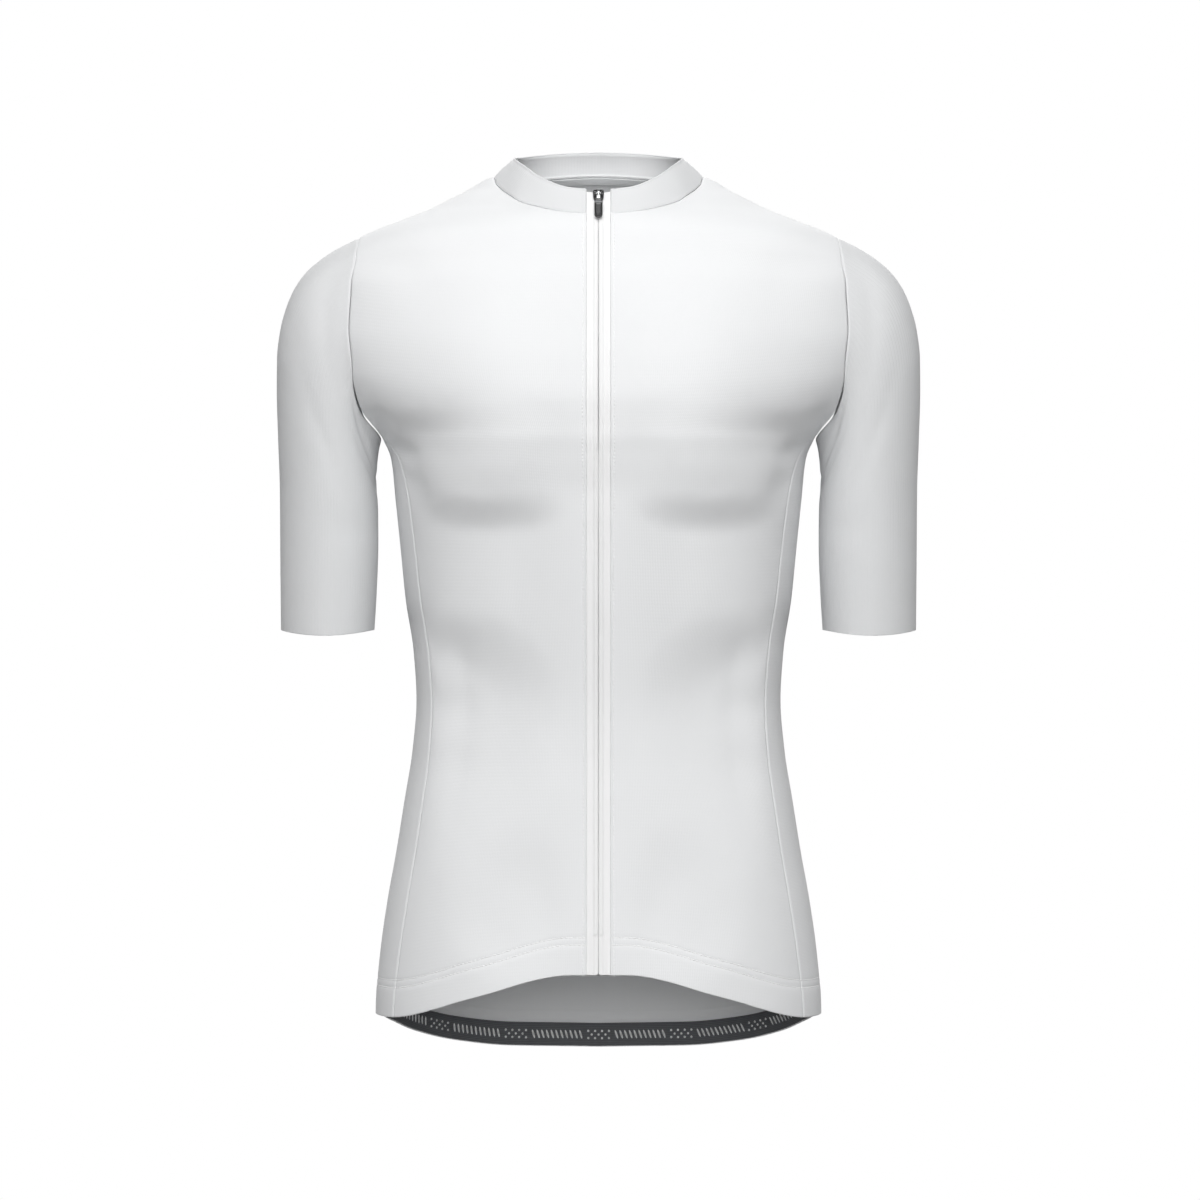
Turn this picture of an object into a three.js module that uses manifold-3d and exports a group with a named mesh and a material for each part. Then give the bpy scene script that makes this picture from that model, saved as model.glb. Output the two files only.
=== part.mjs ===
// Short-sleeved cycling jersey, women's cut, in the filled-out shape it has when worn, with no wearer.
// Units are millimetres. +Z is up, the front faces -Y and the wearer's left is +X.
// The origin is the middle of the neck opening, level with the points where neck and shoulder meet.
// Every panel is a wall on one surface. A place on it is a turn about the body (0 at the centre
// front, 90 at the side, 180 at the centre back) and a height z.

import * as THREE from 'three';
import { mergeVertices } from 'three/addons/utils/BufferGeometryUtils.js';
import Module from 'manifold-3d';

const wasm = await Module();
wasm.setup();

// Small steps by which surfaces' normals are found: turn, z and the collar's rise
const normalStep = { turn: 0.4, z: 0.5, rise: 0.03 };

// Cloth
const wall = 1.2;
const seamGap = 0.32;
const sleeveGap = 0.45;
const tapeWall = 1.0;
const skinGap = 0.3;

// Body sections, one row for each height: half width, depth of front and back, and how square it is
const sideY = 4;
const sections = [
  { z: 0, half: 72.5, front: 10, back: 58, square: 2.0 },
  { z: -3, half: 80.5, front: 17, back: 61, square: 2.0 },
  { z: -10, half: 91.7, front: 31, back: 68, square: 2.0 },
  { z: -17, half: 105.4, front: 47, back: 74, square: 2.0 },
  { z: -24, half: 119.4, front: 58, back: 79, square: 2.0 },
  { z: -31, half: 137.2, front: 69, back: 84, square: 2.0 },
  { z: -38, half: 155.4, front: 76, back: 88, square: 2.0 },
  { z: -44, half: 168, front: 80, back: 92, square: 2.0 },
  { z: -60, half: 189, front: 86.5, back: 98, square: 2.0 },
  { z: -80, half: 199, front: 94, back: 104.5, square: 2.04 },
  { z: -110, half: 201, front: 102, back: 110, square: 2.1 },
  { z: -140, half: 192, front: 108, back: 111, square: 2.15 },
  { z: -165, half: 173.5, front: 111, back: 109, square: 2.2 },
  { z: -184, half: 151.5, front: 111, back: 106, square: 2.24 },
  { z: -199, half: 145, front: 108.5, back: 103.5, square: 2.28 },
  { z: -227, half: 142, front: 102, back: 98, square: 2.35 },
  { z: -262, half: 138.4, front: 98.5, back: 92.5, square: 2.35 },
  { z: -297, half: 134.9, front: 96, back: 88, square: 2.35 },
  { z: -332, half: 129.5, front: 94, back: 86, square: 2.35 },
  { z: -367, half: 127.4, front: 93, back: 87, square: 2.35 },
  { z: -402, half: 130.2, front: 94, back: 91.5, square: 2.35 },
  { z: -437, half: 135.8, front: 96.5, back: 98, square: 2.35 },
  { z: -472, half: 141.4, front: 99.5, back: 105.5, square: 2.35 },
  { z: -507, half: 147.7, front: 103, back: 112, square: 2.35 },
  { z: -542, half: 152.6, front: 106, back: 116, square: 2.35 },
  { z: -577, half: 155.6, front: 108, back: 118, square: 2.35 },
  { z: -625, half: 156.4, front: 109, back: 119, square: 2.35 },
];

// Neckline height by turn, and how much higher the back of the neck stands
const neckline = [
  { turn: 0, z: -33 },
  { turn: 11, z: -30.4 },
  { turn: 20, z: -26.4 },
  { turn: 27.7, z: -22.4 },
  { turn: 36.6, z: -16.4 },
  { turn: 52, z: -8.5 },
  { turn: 66, z: -2.6 },
  { turn: 90, z: 0 },
  { turn: 180, z: 0 },
];
const neckLift = 5.5;
const neckLiftReach = 60;

// Top edge of the stand collar by turn
const collarTop = [
  { turn: 0, x: 0, y: -62, z: -15.8 },
  { turn: 11, x: 22, y: -58, z: -13 },
  { turn: 20, x: 35, y: -51, z: -7.8 },
  { turn: 27.7, x: 43.5, y: -42, z: -2.4 },
  { turn: 36.6, x: 50.5, y: -31, z: 3.6 },
  { turn: 52, x: 56.5, y: -15, z: 9.2 },
  { turn: 90, x: 58.5, y: 5, z: 13 },
  { turn: 115, x: 54, y: 27, z: 15.8 },
  { turn: 140, x: 38.5, y: 43, z: 19.2 },
  { turn: 160, x: 20.5, y: 50, z: 21.2 },
  { turn: 180, x: 0, y: 52, z: 22 },
];
const collarBulge = 0.8;
const collarSteps = 18;
const collarRises = [0.02, 0.5, 1];

// Hem height by turn: scooped at the front, dropped at the back
const hemline = [
  { turn: 0, z: -550.5 },
  { turn: 5, z: -550.6 },
  { turn: 8, z: -551.3 },
  { turn: 11, z: -552.9 },
  { turn: 15, z: -555.6 },
  { turn: 24, z: -563 },
  { turn: 35, z: -570.5 },
  { turn: 42.5, z: -575.6 },
  { turn: 54, z: -581.5 },
  { turn: 63.5, z: -584 },
  { turn: 90, z: -586 },
  { turn: 110, z: -596 },
  { turn: 125, z: -606 },
  { turn: 142, z: -615 },
  { turn: 160, z: -620.5 },
  { turn: 180, z: -622 },
];

// Armhole: a loop about the side line, from the shoulder tip down to the underarm
const armholeMiddleZ = -114;
const armholeHalfHeight = 70;
const armholeSpread = { front: 32, back: 29 };
const armholeFullness = { above: 1.9, below: 1.35 };
const armholeSteps = 24;
const underarmSteps = 1;

// Front side seam by height. The back one lies nearer the side line.
const sideSeam = [
  { z: -181.6, turn: 85 },
  { z: -188, turn: 77.5 },
  { z: -196, turn: 72 },
  { z: -210, turn: 67.8 },
  { z: -225, turn: 65.3 },
  { z: -262, turn: 64 },
  { z: -364, turn: 62.4 },
  { z: -437, turn: 61 },
  { z: -507, turn: 61.3 },
  { z: -584, turn: 62.8 },
  { z: -625, turn: 63.2 },
];
const backSeamShare = 0.84;
const seamSteps = 14;
const seamSpacing = 1.6;
const hemSeamZ = -590;
const shoulderSteps = 5;
const frontColumns = 10;
const sideColumns = 6;
const backColumns = 8;
const neckFade = 14;
const hemFade = 12;

// Soft forms of the front, each a smooth mound or hollow: place, reach and height
const frontForms = [
  { x: 70, z: -158, reachX: 56, reachUp: 66, reachDown: 50, height: 9 },
  { x: 80, z: -362, reachX: 40, reachUp: 44, reachDown: 56, height: -4.5 },
  { x: 45, z: -500, reachX: 34, reachUp: 60, reachDown: 42, height: -2.5 },
];

// Sleeve: outer and inner line seen from the front, then depth from the arm's middle to each face
const sleeveOuter = [
  { x: 168, z: -44 }, { x: 184.5, z: -52.5 }, { x: 195.7, z: -60 }, { x: 205, z: -68.5 },
  { x: 213, z: -80 }, { x: 218.5, z: -93 }, { x: 222.5, z: -108 }, { x: 224.8, z: -128 },
  { x: 225, z: -150 }, { x: 224, z: -185 }, { x: 222.8, z: -220 }, { x: 222.4, z: -270 },
  { x: 221.9, z: -318 },
];
const sleeveInner = [
  { x: 151.5, z: -184 }, { x: 153.6, z: -192 }, { x: 155, z: -204 }, { x: 155.2, z: -216 },
  { x: 154.4, z: -235 }, { x: 154.2, z: -258 }, { x: 155.2, z: -290 }, { x: 156.8, z: -318 },
];
const sleeveDepth = [
  { along: 0, front: 47, back: 52, middleY: 2 },
  { along: 0.25, front: 50, back: 52, middleY: 1 },
  { along: 0.6, front: 47, back: 47, middleY: 0 },
  { along: 1, front: 43, back: 43, middleY: -2 },
];
const sleeveRows = [0, 0.035, 0.09, 0.17, 0.27, 0.38, 0.5, 0.63, 0.76, 0.88, 1];
const innerLag = 1.15;
const ovalFullness = 0.92;
const armholeFade = 0.4;
const cuffDip = { depth: 3.6, reach: 6 };

// Zip
const zipHalfWidth = 8;
const zipGap = 0.5;
const zipTapeHalfWidth = 11.5;
const zipSink = 0.6;
const zipTopHeight = 0.93;

// Hem gripper inside the back hem, tape inside the back neck, and pockets on the back
const gripperHeight = 17.5;
const gripperLift = 0.6;
const gripperSink = 0.4;
const neckTapeEdges = [0.04, 0.55];
const pocket = {
  wall: 1.1, hemMargin: 24, hemTurn: 150, height: 165, centreHalf: 52, sideDrop: 16, seamOverlap: 1, gape: 2,
};

// Zip slider and its pull, measured down the zip from the end of the tapes and out from the collar
const slider = {
  width: 7.8, tipWidth: 6.4, length: 9.2, corner: 1.2, plate: 1.5, innerPlate: 1.2, clearance: 0.8,
  capStart: 0.6, capLength: 1.6,
  lugInner: 1.75, lugOuter: 2.75, lugStart: 2.1, lugEnd: 4.9, pinRadius: 0.55, pinAt: 3.5, pinHeight: 2.5,
};
const joinDepth = 0.4;
const pull = {
  eyeRadius: 1.5, eyeHole: 0.9, neckHalf: 1.4, neckEnd: 2.3, shoulder: 1.5, half: 2.8,
  length: 20.2, thickness: 1.3, tilt: 4,
};

// Colours from the photograph
const finishes = {
  cloth: new THREE.MeshStandardMaterial({ color: 0xf4f4f4, roughness: 0.75, metalness: 0 }),
  zipTape: new THREE.MeshStandardMaterial({ color: 0xe9eaeb, roughness: 0.7, metalness: 0 }),
  gripper: new THREE.MeshStandardMaterial({ color: 0x26272a, roughness: 0.8, metalness: 0 }),
  sliderMetal: new THREE.MeshStandardMaterial({ color: 0x2c2d30, roughness: 0.35, metalness: 0.9 }),
};

const mix = (a, b, share) => a + (b - a) * share;
const radians = THREE.MathUtils.degToRad;
const degrees = THREE.MathUtils.radToDeg;
const clamp = THREE.MathUtils.clamp;

// A smooth curve through one column of a table, with no overshoot between its rows
function curve(table, key, column) {
  const rows = [...table].sort((p, q) => p[key] - q[key]);
  const at = rows.map((row) => row[key]);
  const value = rows.map((row) => row[column]);
  const slope = [];
  for (let i = 0; i + 1 < at.length; i++) slope.push((value[i + 1] - value[i]) / (at[i + 1] - at[i]));
  const tangent = at.map((_, i) => {
    if (i === 0) return slope[0];
    if (i === at.length - 1) return slope[i - 1];
    if (slope[i - 1] * slope[i] <= 0) return 0;
    return (2 * slope[i - 1] * slope[i]) / (slope[i - 1] + slope[i]);
  });
  return (where) => {
    const w = clamp(where, at[0], at[at.length - 1]);
    let i = 0;
    while (i + 2 < at.length && w > at[i + 1]) i++;
    const span = at[i + 1] - at[i];
    const s = (w - at[i]) / span;
    const rise = s * s * (3 - 2 * s);
    const ease = s * (1 - s);
    return mix(value[i], value[i + 1], rise) + span * ease * ((1 - s) * tangent[i] - s * tangent[i + 1]);
  };
}

const halfAt = curve(sections, 'z', 'half');
const frontAt = curve(sections, 'z', 'front');
const backAt = curve(sections, 'z', 'back');
const squareAt = curve(sections, 'z', 'square');
const neckAt = curve(neckline, 'turn', 'z');
const hemAt = curve(hemline, 'turn', 'z');
const seamAt = curve(sideSeam, 'z', 'turn');
const collarTopAt = ['x', 'y', 'z'].map((axis) => curve(collarTop, 'turn', axis));

// Mounds and hollows of the front, fading to nothing at the side line
function frontForm(x, z, facing) {
  let height = 0;
  for (const form of frontForms) {
    const reachZ = z > form.z ? form.reachUp : form.reachDown;
    const away = ((Math.abs(x) - form.x) / form.reachX) ** 2 + ((z - form.z) / reachZ) ** 2;
    height += form.height * Math.exp(-away);
  }
  return height * facing * facing;
}

// Point of the body surface on the wearer's left; turn in degrees
function bodyPoint(turn, z) {
  const sine = Math.sin(radians(turn));
  const cosine = Math.cos(radians(turn));
  const power = 2 / squareAt(z);
  const x = halfAt(z) * Math.sign(sine) * Math.abs(sine) ** power;
  const depth = cosine > 0 ? frontAt(z) + sideY : backAt(z) - sideY;
  let y = sideY - depth * Math.sign(cosine) * Math.abs(cosine) ** power;
  if (cosine > 0) y -= frontForm(x, z, cosine);
  const lift = cosine < 0 ? neckLift * cosine ** 4 * clamp(1 + z / neckLiftReach, 0, 1) ** 2 : 0;
  return new THREE.Vector3(x, y, z + lift);
}

// Point of the collar surface on the wearer's left; rise is 0 at the neckline and 1 at the top edge
function collarPoint(turn, rise) {
  const foot = bodyPoint(turn, neckAt(Math.abs(turn)));
  const [x, y, z] = collarTopAt.map((coordinate) => coordinate(Math.abs(turn)));
  const top = new THREE.Vector3(Math.sign(turn) * x, y, z);
  const out = new THREE.Vector3(foot.x, foot.y, 0).normalize();
  return foot.lerp(top, rise).addScaledVector(out, collarBulge * Math.sin(Math.PI * rise));
}

// Outward normal of a surface at (u, v), from small steps to each side
function surfaceNormal(surface, u, v, stepU, stepV) {
  const alongU = surface(u + stepU, v).sub(surface(u - stepU, v));
  const alongV = surface(u, v + stepV).sub(surface(u, v - stepV));
  return alongU.cross(alongV).normalize();
}

// Body and collar points moved inward by a depth; a negative depth lies outside
function bodyAt(turn, z, depth = 0) {
  const normal = surfaceNormal(bodyPoint, turn, z, normalStep.turn, normalStep.z);
  return bodyPoint(turn, z).addScaledVector(normal, -depth);
}

function collarAt(turn, rise, depth = 0) {
  const normal = surfaceNormal(collarPoint, turn, rise, normalStep.turn, normalStep.rise);
  return collarPoint(turn, rise).addScaledVector(normal, -depth);
}

// Turn at which the front surface has a given x, on the body and on the collar
function bodyTurnAt(x, z) {
  return degrees(Math.asin((x / halfAt(z)) ** (squareAt(z) / 2)));
}

function collarTurnAt(x, rise) {
  let turn = bodyTurnAt(x, neckAt(0));
  for (let pass = 0; pass < 4; pass++) turn *= x / collarPoint(turn, rise).x;
  return turn;
}

// Turn that covers half a seam gap at a place of the body
function gapTurn(turn, z) {
  const stepLength = bodyPoint(turn + 0.5, z).distanceTo(bodyPoint(turn - 0.5, z));
  return seamGap / 2 / stepLength;
}

// Place on the armhole loop, widened by grow; step 0 is the shoulder tip, half way round is the underarm
function armholePlace(step, grow = 0) {
  const angle = (2 * Math.PI * step) / armholeSteps;
  const atFront = step <= armholeSteps / 2;
  const sine = Math.abs(Math.sin(angle));
  const { above, below } = armholeFullness;
  const fullness = Math.cos(angle) > 0 ? 1 - (1 - sine) ** above : sine ** below;
  const z = armholeMiddleZ + (armholeHalfHeight + grow) * Math.cos(angle);
  const side = atFront ? -1 : 1;
  const widest = atFront ? armholeSpread.front : armholeSpread.back;
  const widening = (2 * sine * gapTurn(90 + side * widest, z) * grow) / seamGap;
  return { turn: 90 + side * (widest * fullness + widening), z };
}

// Side seams, front and back
const frontSeamTurn = (z) => seamAt(z);
const backSeamTurn = (z) => 90 + (90 - seamAt(z)) * backSeamShare;

// Turn from a side seam to either panel's edge, wider where the seam runs at a slant
function seamInset(seamTurn, z) {
  const turn = seamTurn(z);
  const run = bodyPoint(seamTurn(z + 1), z).distanceTo(bodyPoint(seamTurn(z - 1), z)) / 2;
  return gapTurn(turn, z) * Math.hypot(1, run);
}

// Outer edge of a front or back half panel, from the neck point over the shoulder to the hem
function panelEdge(atFront) {
  const places = [];
  const tipZ = armholePlace(0, seamGap).z;
  for (let i = 0; i < shoulderSteps; i++) {
    const z = tipZ * (i / shoulderSteps);
    const gap = gapTurn(atFront ? 88 : 92, z);
    places.push({ turn: atFront ? 90 - gap : 90 + gap, z });
  }
  const lastStep = armholeSteps / 2 - underarmSteps;
  const seamTurn = atFront ? frontSeamTurn : backSeamTurn;
  for (let i = 0; i <= lastStep; i++) {
    const place = armholePlace(atFront ? i : armholeSteps - i, seamGap);
    if (i === 0) place.turn = atFront ? 90 - gapTurn(88, place.z) : 90 + gapTurn(92, place.z);
    if (i === lastStep) place.turn += (atFront ? -1 : 1) * seamInset(seamTurn, place.z);
    places.push(place);
  }
  const start = places[places.length - 1];
  const hemZ = hemAt(seamTurn(hemSeamZ));
  for (let i = 1; i <= seamSteps; i++) {
    const z = mix(start.z, hemZ, (i / seamSteps) ** seamSpacing);
    places.push({ turn: seamTurn(z) + (atFront ? -1 : 1) * seamInset(seamTurn, z), z });
  }
  return places;
}

// Half a front or back panel as rows of places. Rows run from the centre line to the outer edge,
// the first follows the neckline and the last the hem, and both shapes fade into the rows between.
function panelRows(atFront, columns) {
  const edge = panelEdge(atFront);
  const first = edge[0];
  const last = edge[edge.length - 1];
  const centreTop = neckAt(atFront ? 0 : 180);
  const centreEnd = hemAt(atFront ? 0 : 180);
  return edge.map((outer) => {
    const share = (outer.z - first.z) / (last.z - first.z);
    const innerZ = mix(centreTop, centreEnd, share);
    const innerTurn = atFront ? bodyTurnAt(zipHalfWidth + seamGap / 2, innerZ) : 180;
    const row = [];
    for (let i = 0; i <= columns; i++) {
      const across = i / columns;
      const turn = mix(innerTurn, outer.turn, across);
      const neckPull = (neckAt(turn) - mix(centreTop, first.z, across)) * (1 - share) ** neckFade;
      const hemPull = (hemAt(turn) - mix(centreEnd, last.z, across)) * share ** hemFade;
      row.push({ turn, z: mix(innerZ, outer.z, across) + neckPull + hemPull });
    }
    return row;
  });
}

// Closed wall between two grids of points with the same rows; wraps joins the last column to the first
function wallGeometry(outer, inner, wraps = false) {
  const rows = outer.length;
  const columns = outer[0].length;
  const positions = [...outer.flat(), ...inner.flat()].flatMap((p) => [p.x, p.y, p.z]);
  const id = (layer, r, c) => (layer * rows + r) * columns + (c % columns);
  const triangles = [];
  const quad = (a, b, c, d) => triangles.push(a, b, c, a, c, d);
  const spans = wraps ? columns : columns - 1;
  for (let r = 0; r + 1 < rows; r++) {
    for (let c = 0; c < spans; c++) {
      quad(id(0, r, c), id(0, r + 1, c), id(0, r + 1, c + 1), id(0, r, c + 1));
      quad(id(1, r, c), id(1, r, c + 1), id(1, r + 1, c + 1), id(1, r + 1, c));
    }
  }
  for (let c = 0; c < spans; c++) {
    quad(id(0, 0, c), id(0, 0, c + 1), id(1, 0, c + 1), id(1, 0, c));
    quad(id(0, rows - 1, c + 1), id(0, rows - 1, c), id(1, rows - 1, c), id(1, rows - 1, c + 1));
  }
  if (!wraps) {
    for (let r = 0; r + 1 < rows; r++) {
      const last = columns - 1;
      quad(id(0, r + 1, 0), id(0, r, 0), id(1, r, 0), id(1, r + 1, 0));
      quad(id(0, r, last), id(0, r + 1, last), id(1, r + 1, last), id(1, r, last));
    }
  }
  return facingOut(positions, triangles);
}

// Turns every triangle over if the closed mesh is inside out
function facingOut(positions, triangles) {
  const corner = (i) => new THREE.Vector3().fromArray(positions, 3 * triangles[i]);
  let volume = 0;
  for (let i = 0; i < triangles.length; i += 3) {
    volume += corner(i).dot(corner(i + 1).cross(corner(i + 2)));
  }
  const ordered = [];
  for (let i = 0; i < triangles.length; i += 3) {
    const [a, b, c] = triangles.slice(i, i + 3);
    ordered.push(a, ...(volume > 0 ? [b, c] : [c, b]));
  }
  const geometry = new THREE.BufferGeometry();
  geometry.setAttribute('position', new THREE.Float32BufferAttribute(positions, 3));
  geometry.setIndex(ordered);
  geometry.computeVertexNormals();
  return geometry;
}

// Point a share of the way between two places of a panel, for what lies on that panel
function between(place, other, share, depth) {
  return bodyAt(place.turn, place.z, depth).lerp(bodyAt(other.turn, other.z, depth), share);
}

// Wall over rows of places on the body, between two depths
function bodyWall(rows, outerDepth, innerDepth) {
  const at = (depth) => rows.map((row) => row.map((place) => bodyAt(place.turn, place.z, depth)));
  return wallGeometry(at(outerDepth), at(innerDepth));
}

const jersey = new THREE.Group();

function addPiece(name, geometry, finish, parent = jersey) {
  const mesh = new THREE.Mesh(geometry, finish);
  mesh.name = name;
  parent.add(mesh);
  return mesh;
}

// The same piece on the wearer's right
function mirrored(geometry) {
  const positions = Array.from(geometry.attributes.position.array, (value, i) => (i % 3 ? value : -value));
  return facingOut(positions, Array.from(geometry.index.array));
}

function addPair(name, geometry, finish) {
  addPiece(`${name}_left`, geometry, finish);
  addPiece(`${name}_right`, mirrored(geometry), finish);
}

// Front halves, either side of the zip
function makeFronts() {
  addPair('front', bodyWall(panelRows(true, frontColumns), 0, wall), finishes.cloth);
}

// Back, one piece from side seam to side seam
function backRows() {
  return panelRows(false, backColumns).map((row) => {
    const left = row.slice(1).reverse();
    const right = row.map((place) => ({ turn: 360 - place.turn, z: place.z }));
    return [...left, ...right];
  });
}

function makeBack() {
  addPiece('back', bodyWall(backRows(), 0, wall), finishes.cloth);
}

// Side panels, from a narrow top under the arm to the hem
function sideRows() {
  const columns = sideColumns;
  const rows = [];
  for (let i = 0; i <= seamSteps; i++) {
    const share = (i / seamSteps) ** seamSpacing;
    const row = [];
    for (let c = 0; c <= columns; c++) {
      const across = c / columns;
      const topStep = armholeSteps / 2 + mix(-underarmSteps, underarmSteps, across);
      const top = armholePlace(topStep, seamGap);
      const z = mix(top.z, hemAt(mix(frontSeamTurn(hemSeamZ), backSeamTurn(hemSeamZ), across)), share);
      const frontEdge = frontSeamTurn(z) + seamInset(frontSeamTurn, z);
      const backEdge = backSeamTurn(z) - seamInset(backSeamTurn, z);
      const turn = mix(frontEdge, backEdge, across);
      row.push({ turn: i === 0 ? clamp(top.turn, frontEdge, backEdge) : turn, z });
    }
    rows.push(row);
  }
  return rows;
}

function makeSides() {
  addPair('side', bodyWall(sideRows(), 0, wall), finishes.cloth);
}

// A line of points as a function of the share of its length
function linePath(points) {
  const reached = [0];
  for (let i = 1; i < points.length; i++) {
    reached.push(reached[i - 1] + Math.hypot(points[i].x - points[i - 1].x, points[i].z - points[i - 1].z));
  }
  const length = reached[reached.length - 1];
  const rows = points.map((point, i) => ({ along: reached[i] / length, x: point.x, z: point.z }));
  const x = curve(rows, 'along', 'x');
  const z = curve(rows, 'along', 'z');
  return (share) => new THREE.Vector3(x(share), 0, z(share));
}

const outerLine = linePath(sleeveOuter);
const innerLine = linePath(sleeveInner);
const sleeveFront = curve(sleeveDepth, 'along', 'front');
const sleeveBack = curve(sleeveDepth, 'along', 'back');
const sleeveMiddle = curve(sleeveDepth, 'along', 'middleY');

// Oval ring of the sleeve between its outer and inner line; angle 0 is on the outer line
function sleeveOval(angle, along) {
  const outer = outerLine(along);
  const inner = innerLine(along ** innerLag);
  const point = inner.lerp(outer, (1 + Math.cos(angle)) / 2);
  const sine = Math.sin(angle);
  const depth = sine > 0 ? sleeveFront(along) : sleeveBack(along);
  point.y = sleeveMiddle(along) - depth * Math.sign(sine) * Math.abs(sine) ** ovalFullness;
  point.z -= cuffDip.depth * Math.max(0, sine) ** 2 * along ** cuffDip.reach;
  return point;
}

// Sleeve surface: the oval, drawn to the armhole loop at its head
function sleevePoint(step, along) {
  const round = ((step % armholeSteps) + armholeSteps) % armholeSteps;
  const angle = (2 * Math.PI * round) / armholeSteps;
  const place = armholePlace(round);
  const head = bodyPoint(place.turn, place.z);
  head.x += sleeveGap;
  const pulled = head.sub(sleeveOval(angle, 0));
  const fade = clamp(1 - along / armholeFade, 0, 1) ** 2;
  return sleeveOval(angle, along).addScaledVector(pulled, fade);
}

function makeSleeves() {
  const outer = [];
  const inner = [];
  for (const along of sleeveRows) {
    const ring = [];
    const innerRing = [];
    for (let step = 0; step < armholeSteps; step++) {
      const alongStep = along > 0.98 ? -0.01 : 0.01;
      const around = sleevePoint(step + 0.3, along).sub(sleevePoint(step - 0.3, along));
      const down = sleevePoint(step, along + alongStep).sub(sleevePoint(step, along));
      const normal = down.cross(around).normalize().multiplyScalar(Math.sign(alongStep));
      const point = sleevePoint(step, along);
      ring.push(point);
      innerRing.push(point.clone().addScaledVector(normal, wall));
    }
    outer.push(ring);
    inner.push(innerRing);
  }
  addPair('sleeve', wallGeometry(outer, inner, true), finishes.cloth);
}

// Points of the collar at one rise, from the zip to the centre back
function collarColumns(rise, depth) {
  const start = collarTurnAt(zipHalfWidth + seamGap / 2, rise);
  const points = [];
  for (let i = 0; i <= collarSteps; i++) points.push(collarAt(mix(start, 180, i / collarSteps), rise, depth));
  return points;
}

// Stand collar, one band from zip to zip round the back
function makeCollar() {
  const rowAt = (rise, depth) => {
    const left = collarColumns(rise, depth);
    const right = left.slice(0, -1).reverse().map((p) => new THREE.Vector3(-p.x, p.y, p.z));
    return [...left, ...right];
  };
  const outer = collarRises.map((rise) => rowAt(rise, 0));
  const inner = collarRises.map((rise) => rowAt(rise, wall));
  addPiece('collar', wallGeometry(outer, inner), finishes.cloth);
}

// Tape that covers the collar seam inside the back neck
function makeNeckTape() {
  const [top, next] = backRows().map((row) => row.slice(1, -1));
  const edgeRow = (share, depth) => top.map((place, i) => between(place, next[i], share, depth));
  const at = (depth) => neckTapeEdges.map((share) => edgeRow(share, depth));
  addPiece('neck_tape', wallGeometry(at(wall + skinGap), at(wall + skinGap + tapeWall)), finishes.cloth);
}

// Zip tapes, inside the front edges from the hem to the top of the collar
function makeZipTapes() {
  const rows = panelRows(true, frontColumns);
  const overlap = zipTapeHalfWidth - zipHalfWidth;
  const gridAt = (depth) => {
    const grid = [0.5, 1].map((share) => {
      const rise = share * zipTopHeight;
      const edge = collarColumns(rise, depth);
      const inner = collarAt(collarTurnAt(zipGap, rise), rise, depth);
      return [inner, edge[0], edge[0].clone().lerp(edge[1], overlap / (edge[1].x - edge[0].x))];
    }).reverse();
    for (const row of rows) {
      const edge = bodyAt(row[0].turn, row[0].z, depth);
      const next = bodyAt(row[1].turn, row[1].z, depth);
      const inner = bodyAt(bodyTurnAt(zipGap, row[0].z), row[0].z, depth);
      grid.push([inner, edge, edge.clone().lerp(next, overlap / (next.x - edge.x))]);
    }
    return grid;
  };
  const outerDepth = wall + zipSink;
  const geometry = wallGeometry(gridAt(outerDepth), gridAt(outerDepth + tapeWall));
  addPair('zip_tape', geometry, finishes.zipTape);
}

// Elastic gripper round the inside of the dropped hem, from front side seam to front side seam,
// on the columns of the side and back panels
function makeGripper() {
  const side = sideRows();
  const back = backRows();
  const hemRow = (fromEnd) => {
    const left = side[side.length - fromEnd];
    const right = left.map((place) => ({ turn: 360 - place.turn, z: place.z })).reverse();
    return [...left, ...back[back.length - fromEnd].slice(1, -1), ...right];
  };
  const hem = hemRow(1);
  const above = hemRow(2);
  const at = (depth) => [gripperLift, gripperHeight].map((height) =>
    hem.map((place, i) => between(place, above[i], height / (above[i].z - place.z), depth)));
  const outerDepth = wall + gripperSink;
  addPiece('hem_gripper', wallGeometry(at(outerDepth), at(outerDepth + tapeWall)), finishes.gripper);
}

// Three patch pockets side by side on the outside of the back, open at the top
function makePockets() {
  const columns = 6;
  const steps = 6;
  const pocketWall = (startOf, endOf, dropAt) => {
    const grid = (extra) => {
      const points = [];
      for (let r = 0; r <= steps; r++) {
        const row = [];
        for (let c = 0; c <= columns; c++) {
          const across = c / columns;
          const share = r / steps;
          const z = hemAt(pocket.hemTurn) + pocket.hemMargin + share * (pocket.height - dropAt(across));
          const turn = mix(startOf(z), endOf(z), across);
          const open = pocket.gape * share ** 3 * Math.sin(Math.PI * across);
          row.push(bodyAt(turn, z, -(skinGap + open + extra)));
        }
        points.push(row);
      }
      return points;
    };
    return wallGeometry(grid(pocket.wall), grid(0));
  };
  const dividerTurn = (z, x) => 180 - bodyTurnAt(x, z);
  const centre = pocketWall(
    (z) => dividerTurn(z, pocket.centreHalf),
    (z) => 360 - dividerTurn(z, pocket.centreHalf),
    () => 0,
  );
  const side = pocketWall(
    (z) => dividerTurn(z, pocket.centreHalf + seamGap),
    (z) => backSeamTurn(z) + pocket.seamOverlap,
    (across) => pocket.sideDrop * across,
  );
  addPiece('pocket_centre', centre, finishes.cloth);
  addPair('pocket', side, finishes.cloth);
}

// Closed solids as the boolean library takes them, and back
function toSolid(geometry) {
  const bare = geometry.clone();
  bare.deleteAttribute('normal');
  bare.deleteAttribute('uv');
  const merged = mergeVertices(bare, 1e-4);
  const mesh = new wasm.Mesh({
    numProp: 3,
    vertProperties: new Float32Array(merged.attributes.position.array),
    triVerts: new Uint32Array(merged.index.array),
  });
  return new wasm.Manifold(mesh);
}

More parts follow.
